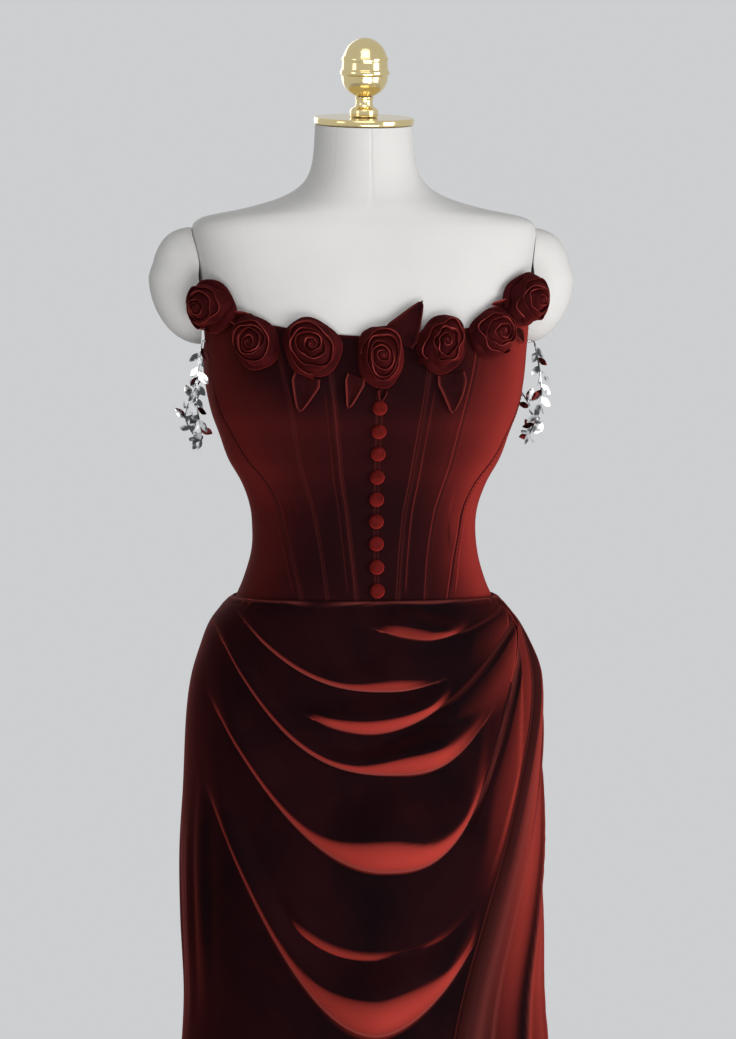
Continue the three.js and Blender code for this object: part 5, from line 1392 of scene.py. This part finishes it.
TORSO_COLUMNS = 240
TORSO_ROWS = ((TORSO["z"][0], 1370, 110), (1374, 1440, 60), (1444, NECK_TOP, 14))   # from, to, rows
FORM_SEAM = 0.7                  # depth of the cover's seam down the middle of the front
FORM_SEAM_WIDTH = 0.55           # degrees
SIDE_SEAM = dict(angle=44, width=0.7, share=0.5)   # the seams beside it
CAP_SEGMENTS = 96
CAP_OUTER_ROWS = 30
CAP_INNER_ROWS = 12
CAP_MIDDLE = 0.03                # share of the cap's size at which its middle is closed flat


def leaned(points):
    """Tilts the neck's top, as the plate that sits on it is tilted."""
    share = np.clip((points[..., 2] - NECK_BEND_START) / (NECK_TOP - NECK_BEND_START), 0, 1)
    points[..., 2] += share * math.tan(NECK_TILT) * points[..., 1]
    return points


def build_torso():
    angle = ring_of(TORSO_COLUMNS)[None, :]
    z = np.concatenate([np.linspace(*rows) for rows in TORSO_ROWS])[:, None]
    signed = (angle + math.pi) % FULL_TURN - math.pi
    points = torso_point(signed, z)
    turn = np.degrees(signed)
    beside = SIDE_SEAM["share"] * bump(np.abs(turn), SIDE_SEAM["angle"], SIDE_SEAM["width"])
    dip = bump(turn, 0, FORM_SEAM_WIDTH) + beside
    radial = points * np.array([1, 1, 0])
    points = leaned(points - unit(radial) * (FORM_SEAM * dip)[..., None])
    rows, columns = points.shape[:2]
    ends = [[0, 0, z[0, 0]], [0, 0, z[-1, 0]]]
    count = rows * columns
    faces = quads(rows, columns, closed=True)
    faces += fan(0, columns, count, flip=True) + fan(count - columns, columns, count + 1)
    points = np.concatenate([points.reshape(-1, 3), ends])
    piece = new_mesh("form_torso_cover", points, faces, COVER, 50)
    place(piece, "form_cover", "form_torso")


def torso_reach(y, z):
    """How far out to the side the torso's section reaches at a depth and height."""
    side, front, back, power = section_at(TORSO, z)
    depth = np.where(y < 0, front, back)
    share = np.minimum(np.abs(y) / depth, 0.98)
    return side * (1 - share ** power) ** (1 / power)


def build_caps():
    for label, side in (("left", -1), ("right", 1)):
        turns = ring_of(CAP_SEGMENTS)[None, :]

        def skin(shares, is_outer):
            y = CAP["y"] + CAP["half_depth"] * shares * np.cos(turns)
            z = CAP["z"] + CAP["half_height"] * shares * np.sin(turns)
            bulge = CAP["bulge"] * np.sqrt(np.clip(1 - shares ** 2, 0, 1)) if is_outer else 0
            gap = mix(CAP["gap"], CAP["clearance"], smooth(CAP_SEAT_HEIGHT - z, 0, CAP_STEP))
            return np.stack([side * (torso_reach(y, z) + gap + bulge), y, z], axis=-1)

        outer_shares = np.sin(np.linspace(CAP_MIDDLE, 1, CAP_OUTER_ROWS) * math.pi / 2)
        inner_shares = np.linspace(1, CAP_MIDDLE, CAP_INNER_ROWS)[1:]
        points = np.concatenate([skin(outer_shares[:, None], True), skin(inner_shares[:, None], False)])
        faces = closed_rings(len(points), CAP_SEGMENTS, flip=side > 0)
        piece = new_mesh(f"form_cap_{label}_cover", points, faces, COVER, 50)
        place(piece, "form_cover", f"form_cap_{label}")


PLATE_TOP = 7
STEM_TOP = 20
BASE_TOP = 26


STEM_PROFILE = rounded([(12.6, 0), (14, 0.6), (14.2, 4), (14, 7), (12.2, 8.4), (9.4, 10), (8.4, 13),
                        (8.6, 17), (9.6, STEM_TOP), (0.2, STEM_TOP)])
BALL_PROFILE = rounded([(8.6, 0), (12, 1.6), (17, 5), (20.4, 9.4), (22.4, 14), (23, 18.4), (23.1, 20.4),
                        (24.4, 21.4), (24.8, 23.4), (24.4, 25.4), (23, 26.4), (22.8, 30), (22.6, 34),
                        (23, 35.2), (23.2, 36.8), (22.8, 38.4), (21.8, 39.4), (20.2, 44), (17, 49.4),
                        (12, 54), (6, 57), (0.2, 58)])
PLATE_PROFILE = rounded([(47.6, 0), (49.4, 0.6), (49.8, 2), (49.8, 5), (49.2, 6.6), (47, PLATE_TOP),
                         (20, PLATE_TOP), (0.2, PLATE_TOP)])
BASE_PROFILE = rounded([(174, 0), (179, 1.4), (180, 4), (180, 8), (178, 11), (172, 13.4), (60, 18),
                        (36, 21), (28, 25.6), (0.2, BASE_TOP)])
POLE_LENGTH = TORSO["z"][0] - BASE_TOP - 2 * SEAT
POLE_PROFILE = rounded([(15.4, 0), (16, 0.4), (16, 4), (16, POLE_LENGTH - 4), (15.4, POLE_LENGTH)])


def on_neck(points, height):
    """Moves points from the neck plate's own axes into the gown's."""
    turn = np.array(Matrix.Rotation(NECK_TILT, 3, "X"))
    moved = np.array(points) + np.array([0, 0, height])
    return moved @ turn.T + np.array([0, 0, NECK_TOP])


def build_brass():
    for name, profile, height, segments in (
        ("neck_plate", PLATE_PROFILE, SEAT, 128),
        ("finial_stem", STEM_PROFILE, 2 * SEAT + PLATE_TOP, 96),
        ("finial_ball", BALL_PROFILE, 3 * SEAT + PLATE_TOP + STEM_TOP, 96),
    ):
        points, faces = lathe(profile, segments)
        place(new_mesh(f"{name}_turned", on_neck(points, height), faces, BRASS, 40), "brass", name)
    for name, profile, height, segments in (
        ("stand_base", BASE_PROFILE, 0, 160),
        ("stand_pole", POLE_PROFILE, BASE_TOP + SEAT, 64),
    ):
        points, faces = lathe(profile, segments)
        standing = points + np.array([0, 0, height])
        place(new_mesh(f"{name}_turned", standing, faces, BRASS, 40), "brass", name)


# ---- the studio ----

# Degrees; the rest in metres, but for its sensor in millimetres. view is the height that it frames
# at its target, and aside moves the target to the camera's right.
CAMERA = dict(azimuth=-8, elevation=3, distance=4.0, aside=0.004, height=1.0855, view=1.039, sensor=36)
FLOOR = dict(radius=2600, corners=64, fade=(1.3, 2.6))   # its fade, in metres from the middle
LIGHTS = (
    dict(name="key", place_at=(2.4, -1.9, 1.3), aim=(0, 0, 1.05), wide=1.4, tall=2.4, power=44),
    dict(name="low_front", place_at=(0.3, -2.5, 0.2), aim=(0, 0, 0.85), wide=2.0, tall=0.8, power=34),
    dict(name="left_rim", place_at=(-1.9, -1.0, 1.75), aim=(0, 0, 1.3), wide=0.7, tall=0.9, power=3.2),
    dict(name="overhead", place_at=(-0.2, -2.0, 3.0), aim=(0, 0, 1.4), wide=1.8, tall=1.4, power=16),
    dict(name="behind", place_at=(-0.9, 2.8, 1.9), aim=(0, 0, 0.9), wide=2.0, tall=1.6, power=16),
)


def build_camera():
    """A long lens a little to the viewer's left of the front and just above it."""
    azimuth, elevation = math.radians(CAMERA["azimuth"]), math.radians(CAMERA["elevation"])
    level = math.cos(elevation)
    right = Vector((math.cos(azimuth), math.sin(azimuth), 0))
    back = Vector((math.sin(azimuth) * level, -math.cos(azimuth) * level, math.sin(elevation)))
    up = back.cross(right)
    target = right * CAMERA["aside"] + Vector((0, 0, CAMERA["height"]))
    camera = bpy.data.objects.new("camera", bpy.data.cameras.new("camera"))
    camera.data.sensor_fit = "VERTICAL"
    camera.data.sensor_height = CAMERA["sensor"]
    camera.data.lens = CAMERA["sensor"] * CAMERA["distance"] / CAMERA["view"]
    camera.data.clip_end = 100
    camera.matrix_world = Matrix((right, up, back)).transposed().to_4x4()
    camera.location = target + back * CAMERA["distance"]
    bpy.context.scene.collection.objects.link(camera)
    bpy.context.scene.camera = camera


def soft_light(name, place_at, aim, wide, tall, power):
    lamp = bpy.data.lights.new(name, "AREA")
    lamp.shape = "RECTANGLE"
    lamp.size = wide
    lamp.size_y = tall
    lamp.energy = power
    light = bpy.data.objects.new(name, lamp)
    light.location = place_at
    light.rotation_euler = (Vector(aim) - Vector(place_at)).to_track_quat("-Z", "Y").to_euler()
    bpy.context.scene.collection.objects.link(light)


def build_floor():
    """A pale floor that fades out round the stand."""
    material, tree, shader = new_material("studio_floor", Roughness=0.9, Base_Color=(0.66, 0.66, 0.66, 1))
    place_in = node(tree, "ShaderNodeTexCoord")
    away = node(tree, "ShaderNodeVectorMath", operation="LENGTH")
    tree.links.new(place_in.outputs["Object"], away.inputs[0])
    fade = ranged(tree, away.outputs["Value"], *FLOOR["fade"], 1, 0, "LINEAR")
    tree.links.new(fade, shader.inputs["Alpha"])
    turns = ring_of(FLOOR["corners"])
    across, along = FLOOR["radius"] * np.cos(turns), FLOOR["radius"] * np.sin(turns)
    ring = np.stack([across, along, np.zeros_like(turns)], axis=-1)
    new_mesh("floor", ring, [list(range(FLOOR["corners"]))], material)


def build_world():
    """A pale backdrop for the camera and for reflections, and a dimmer one that lights the gown."""
    world = bpy.data.worlds.new("studio")
    bpy.context.scene.world = world
    world.use_nodes = True
    tree = world.node_tree
    seen = tree.nodes["Background"]
    seen.inputs["Color"].default_value = (0.61, 0.62, 0.63, 1)
    lit = node(tree, "ShaderNodeBackground", {"Color": (0.6, 0.61, 0.63, 1), "Strength": 0.3})
    rays = node(tree, "ShaderNodeLightPath")
    both = node(tree, "ShaderNodeMixShader")
    either = node(tree, "ShaderNodeMath", operation="MAXIMUM")
    link = tree.links.new
    link(rays.outputs["Is Camera Ray"], either.inputs[0])
    link(rays.outputs["Is Glossy Ray"], either.inputs[1])
    link(either.outputs["Value"], both.inputs["Fac"])
    link(lit.outputs["Background"], both.inputs[1])
    link(seen.outputs["Background"], both.inputs[2])
    link(both.outputs["Shader"], tree.nodes["World Output"].inputs["Surface"])


def build_studio():
    build_floor()
    build_world()
    for light in LIGHTS:
        soft_light(**light)
    bpy.context.scene.view_settings.view_transform = "Standard"


build_camera()
build_studio()
build_torso()
build_caps()
build_brass()
build_bodice()
build_skirt()
for rose_number, rose_row in enumerate(ROSES, 1):
    rose_piece(rose_number, rose_row)
for leaf_number, leaf_row in enumerate(LEAVES, 1):
    leaf_piece(leaf_number, leaf_row)
build_buttons()
build_chains()
build_stitches()
